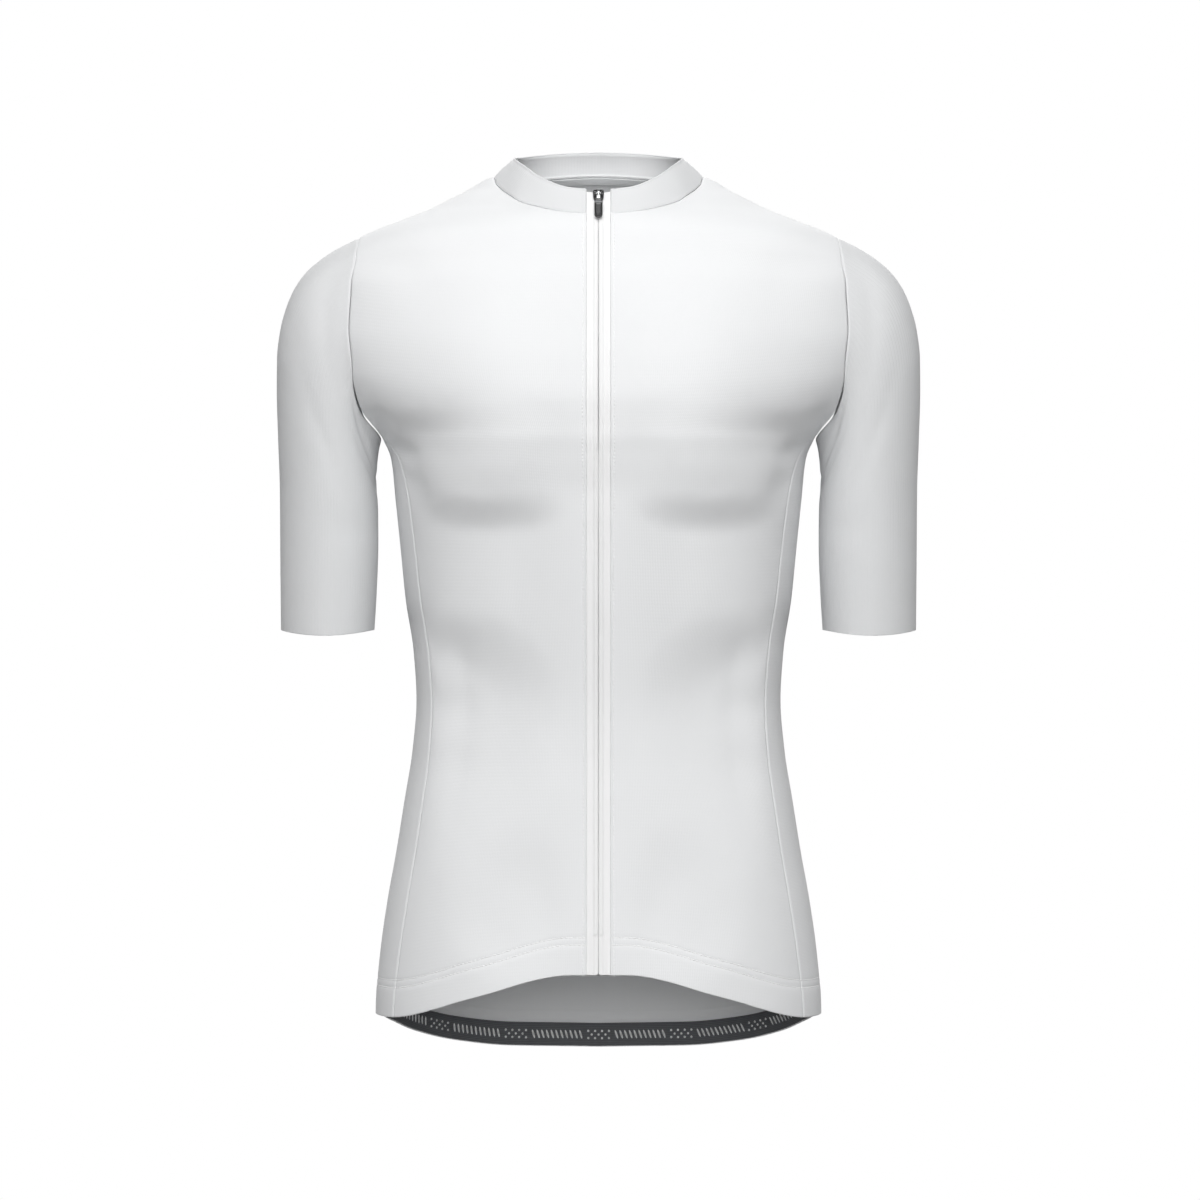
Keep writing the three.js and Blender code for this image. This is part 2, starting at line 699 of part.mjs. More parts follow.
function fromSolid(solid) {
  const mesh = solid.getMesh();
  const geometry = new THREE.BufferGeometry();
  geometry.setAttribute('position', new THREE.Float32BufferAttribute(mesh.vertProperties, 3));
  geometry.setIndex(Array.from(mesh.triVerts));
  geometry.computeVertexNormals();
  return geometry;
}

// Slider parts in their own frame: X across, Y up along the zip, Z out from the collar
function plateShape(topY, length, topHalf, tipHalf) {
  const shape = new THREE.Shape();
  const { corner } = slider;
  shape.moveTo(-topHalf + corner, topY);
  shape.lineTo(topHalf - corner, topY);
  shape.quadraticCurveTo(topHalf, topY, topHalf, topY - corner);
  shape.lineTo(tipHalf, topY - length + corner);
  shape.quadraticCurveTo(tipHalf, topY - length, tipHalf - corner, topY - length);
  shape.lineTo(-tipHalf + corner, topY - length);
  shape.quadraticCurveTo(-tipHalf, topY - length, -tipHalf, topY - length + corner);
  shape.lineTo(-topHalf, topY - corner);
  shape.quadraticCurveTo(-topHalf, topY, -topHalf + corner, topY);
  return shape;
}

function slab(shape, bottomZ, topZ) {
  const geometry = new THREE.ExtrudeGeometry(shape, {
    depth: topZ - bottomZ, bevelEnabled: false, curveSegments: 3,
  });
  return toSolid(geometry.translate(0, 0, bottomZ));
}

function block(x0, x1, y0, y1, z0, z1) {
  const geometry = new THREE.BoxGeometry(x1 - x0, y1 - y0, z1 - z0);
  return toSolid(geometry.translate((x0 + x1) / 2, (y0 + y1) / 2, (z0 + z1) / 2));
}

function crossBar(radius, half, segments) {
  const geometry = new THREE.CylinderGeometry(radius, radius, 2 * half, segments);
  return toSolid(geometry.rotateZ(Math.PI / 2));
}

// Slider body: two plates about the tapes, joined over their ends, with lugs and a pin on the outside
function makeSliderSolid() {
  const topY = slider.capLength;
  const outerBottom = -wall;
  const outerTop = outerBottom + slider.plate;
  const innerTop = -(wall + zipSink + tapeWall + slider.clearance);
  const outline = [topY, slider.length, slider.width / 2, slider.tipWidth / 2];
  let body = slab(plateShape(...outline), outerBottom, outerTop);
  body = body.add(slab(plateShape(...outline), innerTop - slider.innerPlate, innerTop));
  const half = slider.width / 2 - slider.corner;
  body = body.add(block(-half, half, slider.capStart, topY, innerTop - joinDepth, outerBottom + joinDepth));
  for (const sign of [-1, 1]) {
    const x0 = Math.min(sign * slider.lugInner, sign * slider.lugOuter);
    const lugTop = slider.pinHeight + slider.pinRadius + joinDepth;
    const lug = block(x0, x0 + slider.lugOuter - slider.lugInner, -slider.lugEnd, -slider.lugStart,
      outerTop - joinDepth, lugTop);
    body = body.add(lug);
  }
  const pin = crossBar(slider.pinRadius, (slider.lugInner + slider.lugOuter) / 2, 12);
  return body.add(pin.translate(0, -slider.pinAt, slider.pinHeight));
}

// Pull: an eye on the pin, a neck between the lugs and a round-ended grip
function makePullSolid() {
  const grip = new THREE.Shape();
  const round = pull.half;
  const endY = -pull.length + round;
  grip.moveTo(-pull.neckHalf, 0);
  grip.lineTo(-pull.neckHalf, -pull.neckEnd);
  grip.quadraticCurveTo(-pull.half, -pull.neckEnd, -pull.half, -pull.neckEnd - pull.shoulder);
  grip.lineTo(-pull.half, endY);
  grip.absarc(0, endY, round, Math.PI, 2 * Math.PI, false);
  grip.lineTo(pull.half, -pull.neckEnd - pull.shoulder);
  grip.quadraticCurveTo(pull.half, -pull.neckEnd, pull.neckHalf, -pull.neckEnd);
  grip.lineTo(pull.neckHalf, 0);
  grip.lineTo(-pull.neckHalf, 0);
  const geometry = new THREE.ExtrudeGeometry(grip, {
    depth: pull.thickness, bevelEnabled: false, curveSegments: 6,
  });
  const tab = toSolid(geometry.translate(0, 0, -pull.thickness / 2));
  const eye = crossBar(pull.eyeRadius, pull.neckHalf, 16);
  return tab.add(eye).subtract(crossBar(pull.eyeHole, pull.neckHalf + 1, 16));
}

function makeSliderAndPull() {
  const top = collarPoint(0, zipTopHeight);
  const foot = collarPoint(0, zipTopHeight - 0.3);
  const frame = new THREE.Group();
  frame.position.copy(top);
  frame.rotation.x = Math.atan2(top.z - foot.z, top.y - foot.y);
  jersey.add(frame);
  addPiece('zip_slider', fromSolid(makeSliderSolid()), finishes.sliderMetal, frame);
  const grip = addPiece('zip_pull', fromSolid(makePullSolid()), finishes.sliderMetal, frame);
  grip.position.set(0, -slider.pinAt, slider.pinHeight);
  grip.rotation.x = radians(pull.tilt);
}

makeFronts();
makeBack();
makeSides();
makeSleeves();
makeCollar();
makeNeckTape();
makeZipTapes();
makeGripper();
makePockets();
makeSliderAndPull();

export default jersey;
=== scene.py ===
# White women's cycling jersey: looks, light and camera.
# Shapes are worked out in millimetres on the CAD's own surfaces and put into the meshes in metres.
# The front faces -Y, the wearer's left is +X, and the origin is the middle of the neck opening.

import math
import bpy
import numpy as np
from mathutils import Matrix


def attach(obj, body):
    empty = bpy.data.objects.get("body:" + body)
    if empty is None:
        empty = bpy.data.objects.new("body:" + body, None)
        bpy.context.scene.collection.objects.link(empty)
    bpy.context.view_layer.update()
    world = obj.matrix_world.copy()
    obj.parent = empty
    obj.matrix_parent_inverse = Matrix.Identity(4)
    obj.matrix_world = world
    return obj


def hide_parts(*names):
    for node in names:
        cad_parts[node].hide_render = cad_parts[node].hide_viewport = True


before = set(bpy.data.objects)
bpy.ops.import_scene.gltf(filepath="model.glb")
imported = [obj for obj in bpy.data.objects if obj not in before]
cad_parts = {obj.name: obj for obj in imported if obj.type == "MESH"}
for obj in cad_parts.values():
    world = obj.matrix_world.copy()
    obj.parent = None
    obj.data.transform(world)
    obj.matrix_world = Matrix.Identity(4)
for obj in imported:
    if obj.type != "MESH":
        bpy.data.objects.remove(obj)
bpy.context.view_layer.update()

# Camera and stage

view = {"x": 0.00105, "y": -3.0, "z": -0.297, "lens": 128.57}  # metres, front on, as the photograph

cameraData = bpy.data.cameras.new("camera")
cameraData.lens = view["lens"]
cameraData.sensor_width = 36
cameraData.clip_end = 100
camera = bpy.data.objects.new("camera", cameraData)
camera.location = (view["x"], view["y"], view["z"])
camera.rotation_euler = (math.radians(90), 0, 0)
bpy.context.scene.collection.objects.link(camera)
bpy.context.scene.camera = camera
bpy.context.scene.view_settings.view_transform = "Standard"


def linearColour(code):
    # sRGB hex to linear: each channel through the sRGB curve
    channels = [int(code[i:i + 2], 16) / 255 for i in (1, 3, 5)]
    return tuple(c / 12.92 if c <= 0.04045 else ((c + 0.055) / 1.055) ** 2.4 for c in channels) + (1.0,)


def addNode(tree, kind, inputs=None, **settings):
    # One node with its settings. An input is a value, or (node, output) for a link.
    made = tree.nodes.new(kind)
    for name, value in settings.items():
        setattr(made, name, value)
    for name, value in (inputs or {}).items():
        if isinstance(value, tuple) and isinstance(value[0], bpy.types.Node):
            tree.links.new(value[0].outputs[value[1]], made.inputs[name])
        else:
            made.inputs[name].default_value = value
    return made


def newMaterial(name, **values):
    # Material with one Principled shader; the values go straight to its sockets
    material = bpy.data.materials.new(name)
    material.use_nodes = True
    tree = material.node_tree
    tree.nodes.clear()
    shader = addNode(tree, "ShaderNodeBsdfPrincipled", values)
    addNode(tree, "ShaderNodeOutputMaterial", {"Surface": (shader, "BSDF")})
    return material, tree, shader


def waveScale(millimetres):
    # Wave Texture scale for bands this far apart on coordinates in metres (20 radians a unit)
    return 2 * math.pi / 20 / (millimetres / 1000)


light = {
    "ambient": 0.34,        # even studio light from all round above the horizon
    "below": 0.05,          # share of it that comes from below
    "lamps": {              # power in watts, place in metres, size in metres
        "key": (44.0, (0.0, -2.0, 1.85), 1.6),       # large soft light above and in front
        "fill": (37.0, (0.0, -3.2, -0.1), 1.1),      # weaker one near the camera's height
        "back": (46.0, (0.0, 2.7, 1.7), 1.4),        # behind and above, for the edges and the back
        "edge left": (7.0, (-2.1, 1.0, -0.45), 1.0),   # low at both sides, a little behind
        "edge right": (7.0, (2.1, 1.0, -0.45), 1.0),
    },
    "backdrop": 1.0, "floorDrop": 2.0, "floorReach": 1.0,
}


def makeStage():
    world = bpy.data.worlds.new("studio")
    bpy.context.scene.world = world
    world.use_nodes = True
    tree = world.node_tree
    tree.nodes.clear()
    # darker below the horizon: strength follows the height of the direction
    coords = addNode(tree, "ShaderNodeTexCoord")
    split = addNode(tree, "ShaderNodeSeparateXYZ", {"Vector": (coords, "Object")})
    strength = addNode(tree, "ShaderNodeMapRange", {
        "Value": (split, "Z"), "From Min": -0.2, "From Max": 0.15,
        "To Min": light["ambient"] * light["below"], "To Max": light["ambient"]})
    sky = addNode(tree, "ShaderNodeBackground", {"Color": (1, 1, 1, 1), "Strength": (strength, "Result")})
    addNode(tree, "ShaderNodeOutputWorld", {"Surface": (sky, "Background")})

    for name, (power, place, size) in light["lamps"].items():
        lamp = bpy.data.lights.new(name, "AREA")
        lamp.energy, lamp.size = power, size
        made = bpy.data.objects.new(name, lamp)
        made.location = place
        tilt = math.atan2(math.hypot(place[0], place[1]), place[2] - view["z"])
        made.rotation_euler = (tilt, 0, math.atan2(place[0], -place[1]))
        bpy.context.scene.collection.objects.link(made)

    # White backdrop: a sphere of light round everything that only the camera sees
    glow = bpy.data.materials.new("lit white backdrop")
    glow.use_nodes = True
    glow.node_tree.nodes.clear()
    emit = addNode(glow.node_tree, "ShaderNodeEmission",
                   {"Color": (1, 1, 1, 1), "Strength": light["backdrop"]})
    addNode(glow.node_tree, "ShaderNodeOutputMaterial", {"Surface": (emit, "Emission")})
    turn, rise = np.meshgrid(np.linspace(0, 2 * np.pi, 49)[:-1], np.linspace(-1.5, 1.5, 25), indexing="ij")
    points = 8 * np.stack([np.cos(turn) * np.cos(rise), np.sin(turn) * np.cos(rise), np.sin(rise)], -1)
    dome = makeGrid("backdrop", points * 1000, wraps=True, material=glow)
    for kind in ("visible_diffuse", "visible_glossy", "visible_transmission", "visible_shadow"):
        setattr(dome, kind, False)

    # Pale painted floor: plain matt, well below the jersey so that little light comes from it
    paint, _, _ = newMaterial("matt pale painted floor", **{
        "Base Color": linearColour("#dcdcdc"), "Roughness": 0.9})
    turns = np.linspace(0, 2 * np.pi, 65)[:-1]
    turn, out = np.meshgrid(turns, np.linspace(0.02, light["floorReach"], 6), indexing="ij")
    points = np.stack([out * np.cos(turn), out * np.sin(turn), np.full_like(out, -light["floorDrop"])], -1)
    makeGrid("floor", points * 1000, wraps=True, material=paint)


# Mesh making

def meshObject(name, points, faces, material, uv=None):
    # Mesh object from points in mm and an array of faces, all with the same number of corners
    mesh = bpy.data.meshes.new(name)
    count, corners = faces.shape
    mesh.vertices.add(len(points))
    mesh.vertices.foreach_set("co", (points / 1000).astype(np.float32).ravel())
    mesh.loops.add(count * corners)
    mesh.loops.foreach_set("vertex_index", faces.astype(np.int32).ravel())
    mesh.polygons.add(count)
    mesh.polygons.foreach_set("loop_start", np.arange(0, count * corners, corners, dtype=np.int32))
    mesh.polygons.foreach_set("use_smooth", np.ones(count, dtype=bool))
    mesh.update(calc_edges=True)
    if uv is not None:
        layer = mesh.uv_layers.new(name="cloth")
        layer.data.foreach_set("uv", uv.astype(np.float32).ravel())
    mesh.validate()
    mesh.materials.append(material)
    made = bpy.data.objects.new(name, mesh)
    bpy.context.scene.collection.objects.link(made)
    return made


def gridQuads(rows, columns, wraps, step=None):
    # Corner numbers of a grid's quads; step is the length of a row of the numbered points
    r, c = np.meshgrid(np.arange(rows - 1), np.arange(columns if wraps else columns - 1), indexing="ij")
    r, c = r.ravel(), c.ravel()
    step = step or columns
    nextC = (c + 1) % step
    return np.stack([r * step + c, (r + 1) * step + c, (r + 1) * step + nextC, r * step + nextC], -1)


def makeGrid(name, points, wraps=False, material=None):
    # Open surface on a grid of points; wraps joins the first row to the last
    grid = np.swapaxes(points, 0, 1) if wraps else points
    faces = gridQuads(grid.shape[0], grid.shape[1], wraps)
    return meshObject(name, grid.reshape(-1, 3), faces, material)


def makeShell(name, outer, inner, material, uv=None, wraps=False, lining=None):
    # Closed cloth: an outer and an inner grid joined round their rims. uv is in metres of cloth.
    # A lining material covers the inner face.
    rows, columns = outer.shape[:2]
    quads = gridQuads(rows, columns, wraps)
    count = rows * columns
    ids = np.arange(count).reshape(rows, columns)
    if wraps:
        ring = [np.append(ids[0], ids[0, 0]), np.append(ids[-1], ids[-1, 0])[::-1]]
    else:
        ring = [np.concatenate([ids[0], ids[1:, -1], ids[-1, -2::-1], ids[-2::-1, 0]])]
    rims = [np.stack([q[:-1], q[1:], q[1:] + count, q[:-1] + count], -1) for q in ring]
    faces = np.concatenate([quads, quads[:, ::-1] + count] + rims)
    points = np.concatenate([outer.reshape(-1, 3), inner.reshape(-1, 3)])
    a, b, c = (points[faces[:, k]] for k in (0, 1, 2))
    d = points[faces[:, 3]]
    volume = np.einsum("ij,ij->", a, np.cross(b, c)) + np.einsum("ij,ij->", a, np.cross(c, d))
    corners = None
    if uv is not None:
        wide = uv.shape[1]
        uvQuads = gridQuads(rows, columns, wraps, step=wide)
        flat = uv.reshape(-1, 2)
        uvIds = np.arange(rows * wide).reshape(rows, wide)
        if wraps:
            uvRing = [uvIds[0], uvIds[-1][::-1]]
        else:
            uvRing = [np.concatenate([uvIds[0], uvIds[1:, -1], uvIds[-1, -2::-1], uvIds[-2::-1, 0]])]
        uvRims = [np.stack([q[:-1], q[1:], q[1:], q[:-1]], -1) for q in uvRing]
        corners = flat[np.concatenate([uvQuads, uvQuads[:, ::-1]] + uvRims)]
    if volume < 0:
        faces = faces[:, ::-1]
        corners = corners[:, ::-1] if corners is not None else None
    made = meshObject(name, points, faces, material, corners)
    if lining:
        made.data.materials.append(lining)
        part = np.arange(len(faces))
        inside = (part >= len(quads)) & (part < 2 * len(quads))
        made.data.polygons.foreach_set("material_index", inside.astype(np.int32))
    return made


def joinedShapes(name, shapes, material):
    # One mesh from several (points, triangles) shapes
    start = 0
    allPoints, allFaces = [], []
    for points, faces in shapes:
        allPoints.append(points)
        allFaces.append(faces + start)
        start += len(points)
    return meshObject(name, np.concatenate(allPoints), np.concatenate(allFaces), material)


def repeated(points, faces, origins, axes):
    # Small shape set at many places: place + x times first axis + y times second + z times third
    moved = origins[:, None, :] + np.einsum("vk,nkd->nvd", points, axes)
    numbers = faces[None] + (np.arange(len(origins)) * len(points))[:, None, None]
    return moved.reshape(-1, 3), numbers.reshape(-1, 3)


def unit(vectors):
    return vectors / np.maximum(np.linalg.norm(vectors, axis=-1, keepdims=True), 1e-9)


def arcAlong(points, axis):
    # Distance gone along one axis of a grid: the running sum of its steps
    steps = np.linalg.norm(np.diff(points, axis=axis), axis=-1)
    start = np.zeros_like(np.take(steps, [0], axis=axis))
    return np.concatenate([start, np.cumsum(steps, axis=axis)], axis=axis)


def smooth(low, high, value):
    # 0 below low, 1 above high, an S curve between
    share = np.clip((value - low) / (high - low), 0, 1)
    return share * share * (3 - 2 * share)


def hill(value, width):
    # Bell curve: 1 at 0, falling with the square of value over width
    return np.exp(-(value / width) ** 2)


def capsule(length, radius, sides=6):
    # Low stitch shape along x: a tube with rounded ends and a flattened section
    at = np.array([-0.5, -0.42, 0.42, 0.5]) * length
    size = np.array([0.45, 1, 1, 0.45]) * radius
    angle = np.linspace(0, 2 * np.pi, sides, endpoint=False)
    rings = np.stack([np.repeat(at, sides), np.outer(size, np.cos(angle)).ravel(),
                      np.outer(size, np.sin(angle)).ravel()], -1)
    quads = gridQuads(4, sides, True)
    faces = np.concatenate([quads[:, [0, 1, 2]], quads[:, [0, 2, 3]]])
    caps = [[0, k, k + 1] for k in range(1, sides - 1)]
    caps += [[3 * sides, 3 * sides + k + 1, 3 * sides + k] for k in range(1, sides - 1)]
    faces = np.concatenate([faces, np.array(caps)])[:, ::-1]
    return rings, faces


def stitchRun(path, normals, pitch, length, radius, slant=0.0, start=0.5):
    # Stitches along a path: evenly spaced places, each laid along the path and turned by slant degrees
    gone = arcAlong(path, 0)
    places = np.arange(start * pitch, gone[-1], pitch)
    origin = np.stack([np.interp(places, gone, path[:, k]) for k in range(3)], -1)
    normal = unit(np.stack([np.interp(places, gone, normals[:, k]) for k in range(3)], -1))
    tangent = np.gradient(path, gone, axis=0)
    tangent = np.stack([np.interp(places, gone, tangent[:, k]) for k in range(3)], -1)
    across = unit(np.cross(normal, tangent))
    forward = np.cross(across, normal)
    turn = np.radians(np.broadcast_to(slant, places.shape))[:, None]
    along = forward * np.cos(turn) + across * np.sin(turn)
    side = np.cross(normal, along)
    return repeated(*capsule(length, radius), origin, np.stack([along, side, normal], 1))


# The jersey's surfaces, the same as in the CAD

def curve(at, value):
    # Smooth curve through a table with no overshoot: cubic steps with harmonic mean slopes
    order = np.argsort(at)
    at, value = np.asarray(at, float)[order], np.asarray(value, float)[order]
    slope = np.diff(value) / np.diff(at)
    before, after = slope[:-1], slope[1:]
    even = before * after > 0
    middle = np.where(even, 2 * before * after / np.where(even, before + after, 1), 0)
    tangent = np.concatenate([slope[:1], middle, slope[-1:]])

    def read(where):
        w = np.clip(where, at[0], at[-1])
        i = np.clip(np.searchsorted(at, w, side="right") - 1, 0, len(at) - 2)
        span = at[i + 1] - at[i]
        s = (w - at[i]) / span
        rise, ease = s * s * (3 - 2 * s), s * (1 - s)
        return (value[i] + (value[i + 1] - value[i]) * rise
                + span * ease * ((1 - s) * tangent[i] - s * tangent[i + 1]))
    return read


# Height, half width, depth of front and back, squareness
sections = np.array([
    (0, 72.5, 10, 58, 2), (-3, 80.5, 17, 61, 2), (-10, 91.7, 31, 68, 2), (-17, 105.4, 47, 74, 2),
    (-24, 119.4, 58, 79, 2), (-31, 137.2, 69, 84, 2), (-38, 155.4, 76, 88, 2), (-44, 168, 80, 92, 2),
    (-60, 189, 86.5, 98, 2), (-80, 199, 94, 104.5, 2.04), (-110, 201, 102, 110, 2.1),
    (-140, 192, 108, 111, 2.15), (-165, 173.5, 111, 109, 2.2), (-184, 151.5, 111, 106, 2.24),
    (-199, 145, 108.5, 103.5, 2.28), (-227, 142, 102, 98, 2.35), (-262, 138.4, 98.5, 92.5, 2.35),
    (-297, 134.9, 96, 88, 2.35), (-332, 129.5, 94, 86, 2.35), (-367, 127.4, 93, 87, 2.35),
    (-402, 130.2, 94, 91.5, 2.35), (-437, 135.8, 96.5, 98, 2.35), (-472, 141.4, 99.5, 105.5, 2.35),
    (-507, 147.7, 103, 112, 2.35), (-542, 152.6, 106, 116, 2.35), (-577, 155.6, 108, 118, 2.35),
    (-625, 156.4, 109, 119, 2.35)])
neckline = np.array([(0, -33), (11, -30.4), (20, -26.4), (27.7, -22.4), (36.6, -16.4), (52, -8.5),
                     (66, -2.6), (90, 0), (180, 0)])
hemline = np.array([(0, -550.5), (5, -550.6), (8, -551.3), (11, -552.9), (15, -555.6), (24, -563),
                    (35, -570.5), (42.5, -575.6), (54, -581.5), (63.5, -584), (90, -586), (110, -596),
                    (125, -606), (142, -615), (160, -620.5), (180, -622)])
collarTop = np.array([
    (0, 0, -62, -15.8), (11, 22, -58, -13), (20, 35, -51, -7.8), (27.7, 43.5, -42, -2.4),
    (36.6, 50.5, -31, 3.6), (52, 56.5, -15, 9.2), (90, 58.5, 5, 13), (115, 54, 27, 15.8),
    (140, 38.5, 43, 19.2), (160, 20.5, 50, 21.2), (180, 0, 52, 22)])
sideSeam = np.array([(-181.6, 85), (-188, 77.5), (-196, 72), (-210, 67.8), (-225, 65.3), (-262, 64),
                     (-364, 62.4), (-437, 61), (-507, 61.3), (-584, 62.8), (-625, 63.2)])
frontForms = [(70, -158, 56, 66, 50, 9), (80, -362, 40, 44, 56, -4.5), (45, -500, 34, 60, 42, -2.5)]
body = {"sideY": 4, "neckLift": 5.5, "neckLiftReach": 60, "collarBulge": 0.8, "backSeamShare": 0.84,
        "hemSeamZ": -590, "zipHalf": 8.16}
armhole = {"middleZ": -114, "half": 70, "front": 32, "back": 29, "above": 1.9, "below": 1.35}

halfAt, frontAt, backAt, squareAt = (curve(sections[:, 0], sections[:, k]) for k in (1, 2, 3, 4))
neckAt = curve(neckline[:, 0], neckline[:, 1])
hemAt = curve(hemline[:, 0], hemline[:, 1])
seamAt = curve(sideSeam[:, 0], sideSeam[:, 1])
collarTopAt = [curve(collarTop[:, 0], collarTop[:, k]) for k in (1, 2, 3)]


def bodyPoint(turn, z):
    # Superellipse section: x and depth are half sizes times sine and cosine to the power 2 / squareness,
    # less the soft forms of the front, plus the lift of the back of the neck
    turn, z = np.broadcast_arrays(np.asarray(turn, float), np.asarray(z, float))
    sine, cosine = np.sin(np.radians(turn)), np.cos(np.radians(turn))
    power = 2 / squareAt(z)
    x = halfAt(z) * np.sign(sine) * np.abs(sine) ** power
    depth = np.where(cosine > 0, frontAt(z) + body["sideY"], backAt(z) - body["sideY"])
    y = body["sideY"] - depth * np.sign(cosine) * np.abs(cosine) ** power
    form = np.zeros_like(y)
    for atX, atZ, reachX, reachUp, reachDown, height in frontForms:
        reachZ = np.where(z > atZ, reachUp, reachDown)
        form += height * np.exp(-((np.abs(x) - atX) / reachX) ** 2 - ((z - atZ) / reachZ) ** 2)
    y = y - np.where(cosine > 0, form * cosine ** 2, 0)
    lift = body["neckLift"] * cosine ** 4 * np.clip(1 + z / body["neckLiftReach"], 0, 1) ** 2
    return np.stack([x, y, z + np.where(cosine < 0, lift, 0)], -1)


def bodyNormal(turn, z):
    # Outward normal: cross product of small steps round and up the surface
    low = np.minimum(z + 0.5, 0) - 1
    along = bodyPoint(turn + 0.4, z) - bodyPoint(turn - 0.4, z)
    up = bodyPoint(turn, low + 1) - bodyPoint(turn, low)
    return unit(np.cross(along, up))


def collarPoint(turn, rise):
    # Straight from the neckline to the top edge, with a slight outward bulge
    turn, rise = np.broadcast_arrays(np.asarray(turn, float), np.asarray(rise, float))
    foot = bodyPoint(turn, neckAt(np.abs(turn)))
    top = np.stack([read(np.abs(turn)) for read in collarTopAt], -1)
    top[..., 0] *= np.where(turn < 0, -1, 1)
    out = unit(foot * np.array([1, 1, 0]))
    rise = rise[..., None]
    return foot + (top - foot) * rise + out * body["collarBulge"] * np.sin(np.pi * rise)


def bodyTurnAt(x, z):
    return np.degrees(np.arcsin((x / halfAt(z)) ** (squareAt(z) / 2)))


def frontSeam(z):
    return seamAt(z)


def backSeam(z):
    return 90 + (90 - seamAt(z)) * body["backSeamShare"]


def armholeAt(angle):
    # Armhole loop: height by cosine, spread by a full sine; 0 is the shoulder tip, front first
    cosine, sine = np.cos(angle), np.abs(np.sin(angle))
    full = np.where(cosine > 0, 1 - (1 - sine) ** armhole["above"], sine ** armhole["below"])
    atFront = np.sin(angle) >= 0
    spread = np.where(atFront, -armhole["front"], armhole["back"])
    return 90 + spread * full, armhole["middleZ"] + armhole["half"] * cosine


print("surfaces ready")

# Cloth panels

panel = {
    "cloth": 0.8,             # mm, thickness shown for the 0.6 to 0.8 mm knit
    "seamDepth": 0.5, "seamWidth": 0.9, "seamGap": 0.03,
    "hemStitches": (25.5, 20.3), "stitchSink": 0.32,
    "columnStep": 3.6,
    "ridgeShare": 0.25,       # how far the rows of the shoulder ridge spread inside the panel
}

hemRows = [40, 36, 32, 29, 27.2, 26.3, 25.5, 24.7, 23.9, 22.9, 22, 21.1, 20.3, 19.5, 18.6, 16, 13, 10, 7.5,
           5.5, 4, 3, 2.2, 1.5, 1, 0.6, 0.3, 0.1, 0]
edgeColumns = [0, 0.3, 0.7, 1.2, 1.8, 2.6, 3.8]
edgeDrops = [0, 0.1, 0.25, 0.45, 0.7, 1.0, 1.5, 2.2]


def spread(lengthMm, step, first, last):
    # Shares of a length: close together at either end, evenly spaced between
    count = max(2, round((lengthMm - first[-1] - last[-1]) / step))
    middle = np.linspace(first[-1], lengthMm - last[-1], count + 1)[1:-1]
    return np.concatenate([first, middle, lengthMm - np.array(last[::-1])]) / lengthMm


def outerEdge(atFront):
    # Outer edge of a front or back half: ridge of the shoulder, armhole, side seam. The third array is
    # the level that each row takes inside the panel: the share of the edge's length down to the seam's
    # start, and the edge's own height below that.
    seam = frontSeam if atFront else backSeam
    tip, low = armhole["middleZ"] + armhole["half"], -181.6
    ridge = -np.concatenate([edgeDrops, np.linspace(edgeDrops[-1], -tip, 24)[1:-1]])
    angle = np.radians(np.concatenate([[0, 5, 8, 11, 14, 17], np.linspace(20, 165, 50)]))
    turnHole, zHole = armholeAt(angle if atFront else -angle)
    end = hemAt(seam(body["hemSeamZ"]))
    frontEnd = hemAt(frontSeam(body["hemSeamZ"]))
    away = np.concatenate([np.linspace(low - frontEnd, hemRows[0], 92)[1:-1], hemRows])
    grow = 1 + ((low - end) / (low - frontEnd) - 1) * smooth(0, 200, away)
    zSeam = end + away * grow
    z = np.concatenate([ridge, zHole, zSeam])
    turn = np.concatenate([np.full(len(ridge), 90.0), turnHole, seam(zSeam)])
    upper = len(ridge) + len(zHole)
    steps = np.linalg.norm(np.diff(bodyPoint(turn[:upper], z[:upper]), axis=0), axis=-1)
    steps[:len(ridge)] *= panel["ridgeShare"]
    gone = np.append(0, np.cumsum(steps))
    level = np.concatenate([low * gone / gone[-1], zSeam])
    return turn, z, level


def halfPanel(atFront):
    # Half a front or back: rows run from the centre line to the outer edge. The first follows the
    # neckline, the last lie at set distances above the hem, and the rows between blend the two.
    outerTurn, outerZ, rowLevel = outerEdge(atFront)
    first, last = outerZ[0], outerZ[-1]
    centreTop, centreEnd = neckAt(0 if atFront else 180), hemAt(0 if atFront else 180)
    away = rowLevel - last
    ratio = (centreTop - centreEnd) / (first - last)
    innerZ = centreEnd + away * (1 + (ratio - 1) * smooth(0, 200, away))
    if atFront:
        innerTurn = bodyTurnAt(body["zipHalf"], innerZ)
        across = spread(170, panel["columnStep"], edgeColumns, edgeColumns)
    else:
        innerTurn = np.full_like(innerZ, 180.0)
        across = spread(170, panel["columnStep"], [0, 3.4], edgeColumns)
    share = ((rowLevel - first) / (last - first))[:, None]
    a = across[None, :]
    level = 1 - (1 - a) ** 2   # rows reach the outer edge level, so that they never cross at the armhole
    turn = innerTurn[:, None] + (outerTurn - innerTurn)[:, None] * a
    z = innerZ[:, None] + (outerZ - innerZ)[:, None] * level
    z = z + (neckAt(turn) - (centreTop + (first - centreTop) * level)) * (1 - share) ** 14
    fade = 1 - smooth(40, 200, away)[:, None]
    z = z + (hemAt(turn) - (centreEnd + (last - centreEnd) * level)) * fade
    return turn, z


knitTurns = np.linspace(0, 180, 361)
knitReach = arcAlong(bodyPoint(knitTurns, -300.0), 0)


def knitMap(turn, z):
    # Place in the cloth, in metres: distance round at the waist for the turn, and height
    return np.stack([np.interp(turn, knitTurns, knitReach), z], -1) / 1000


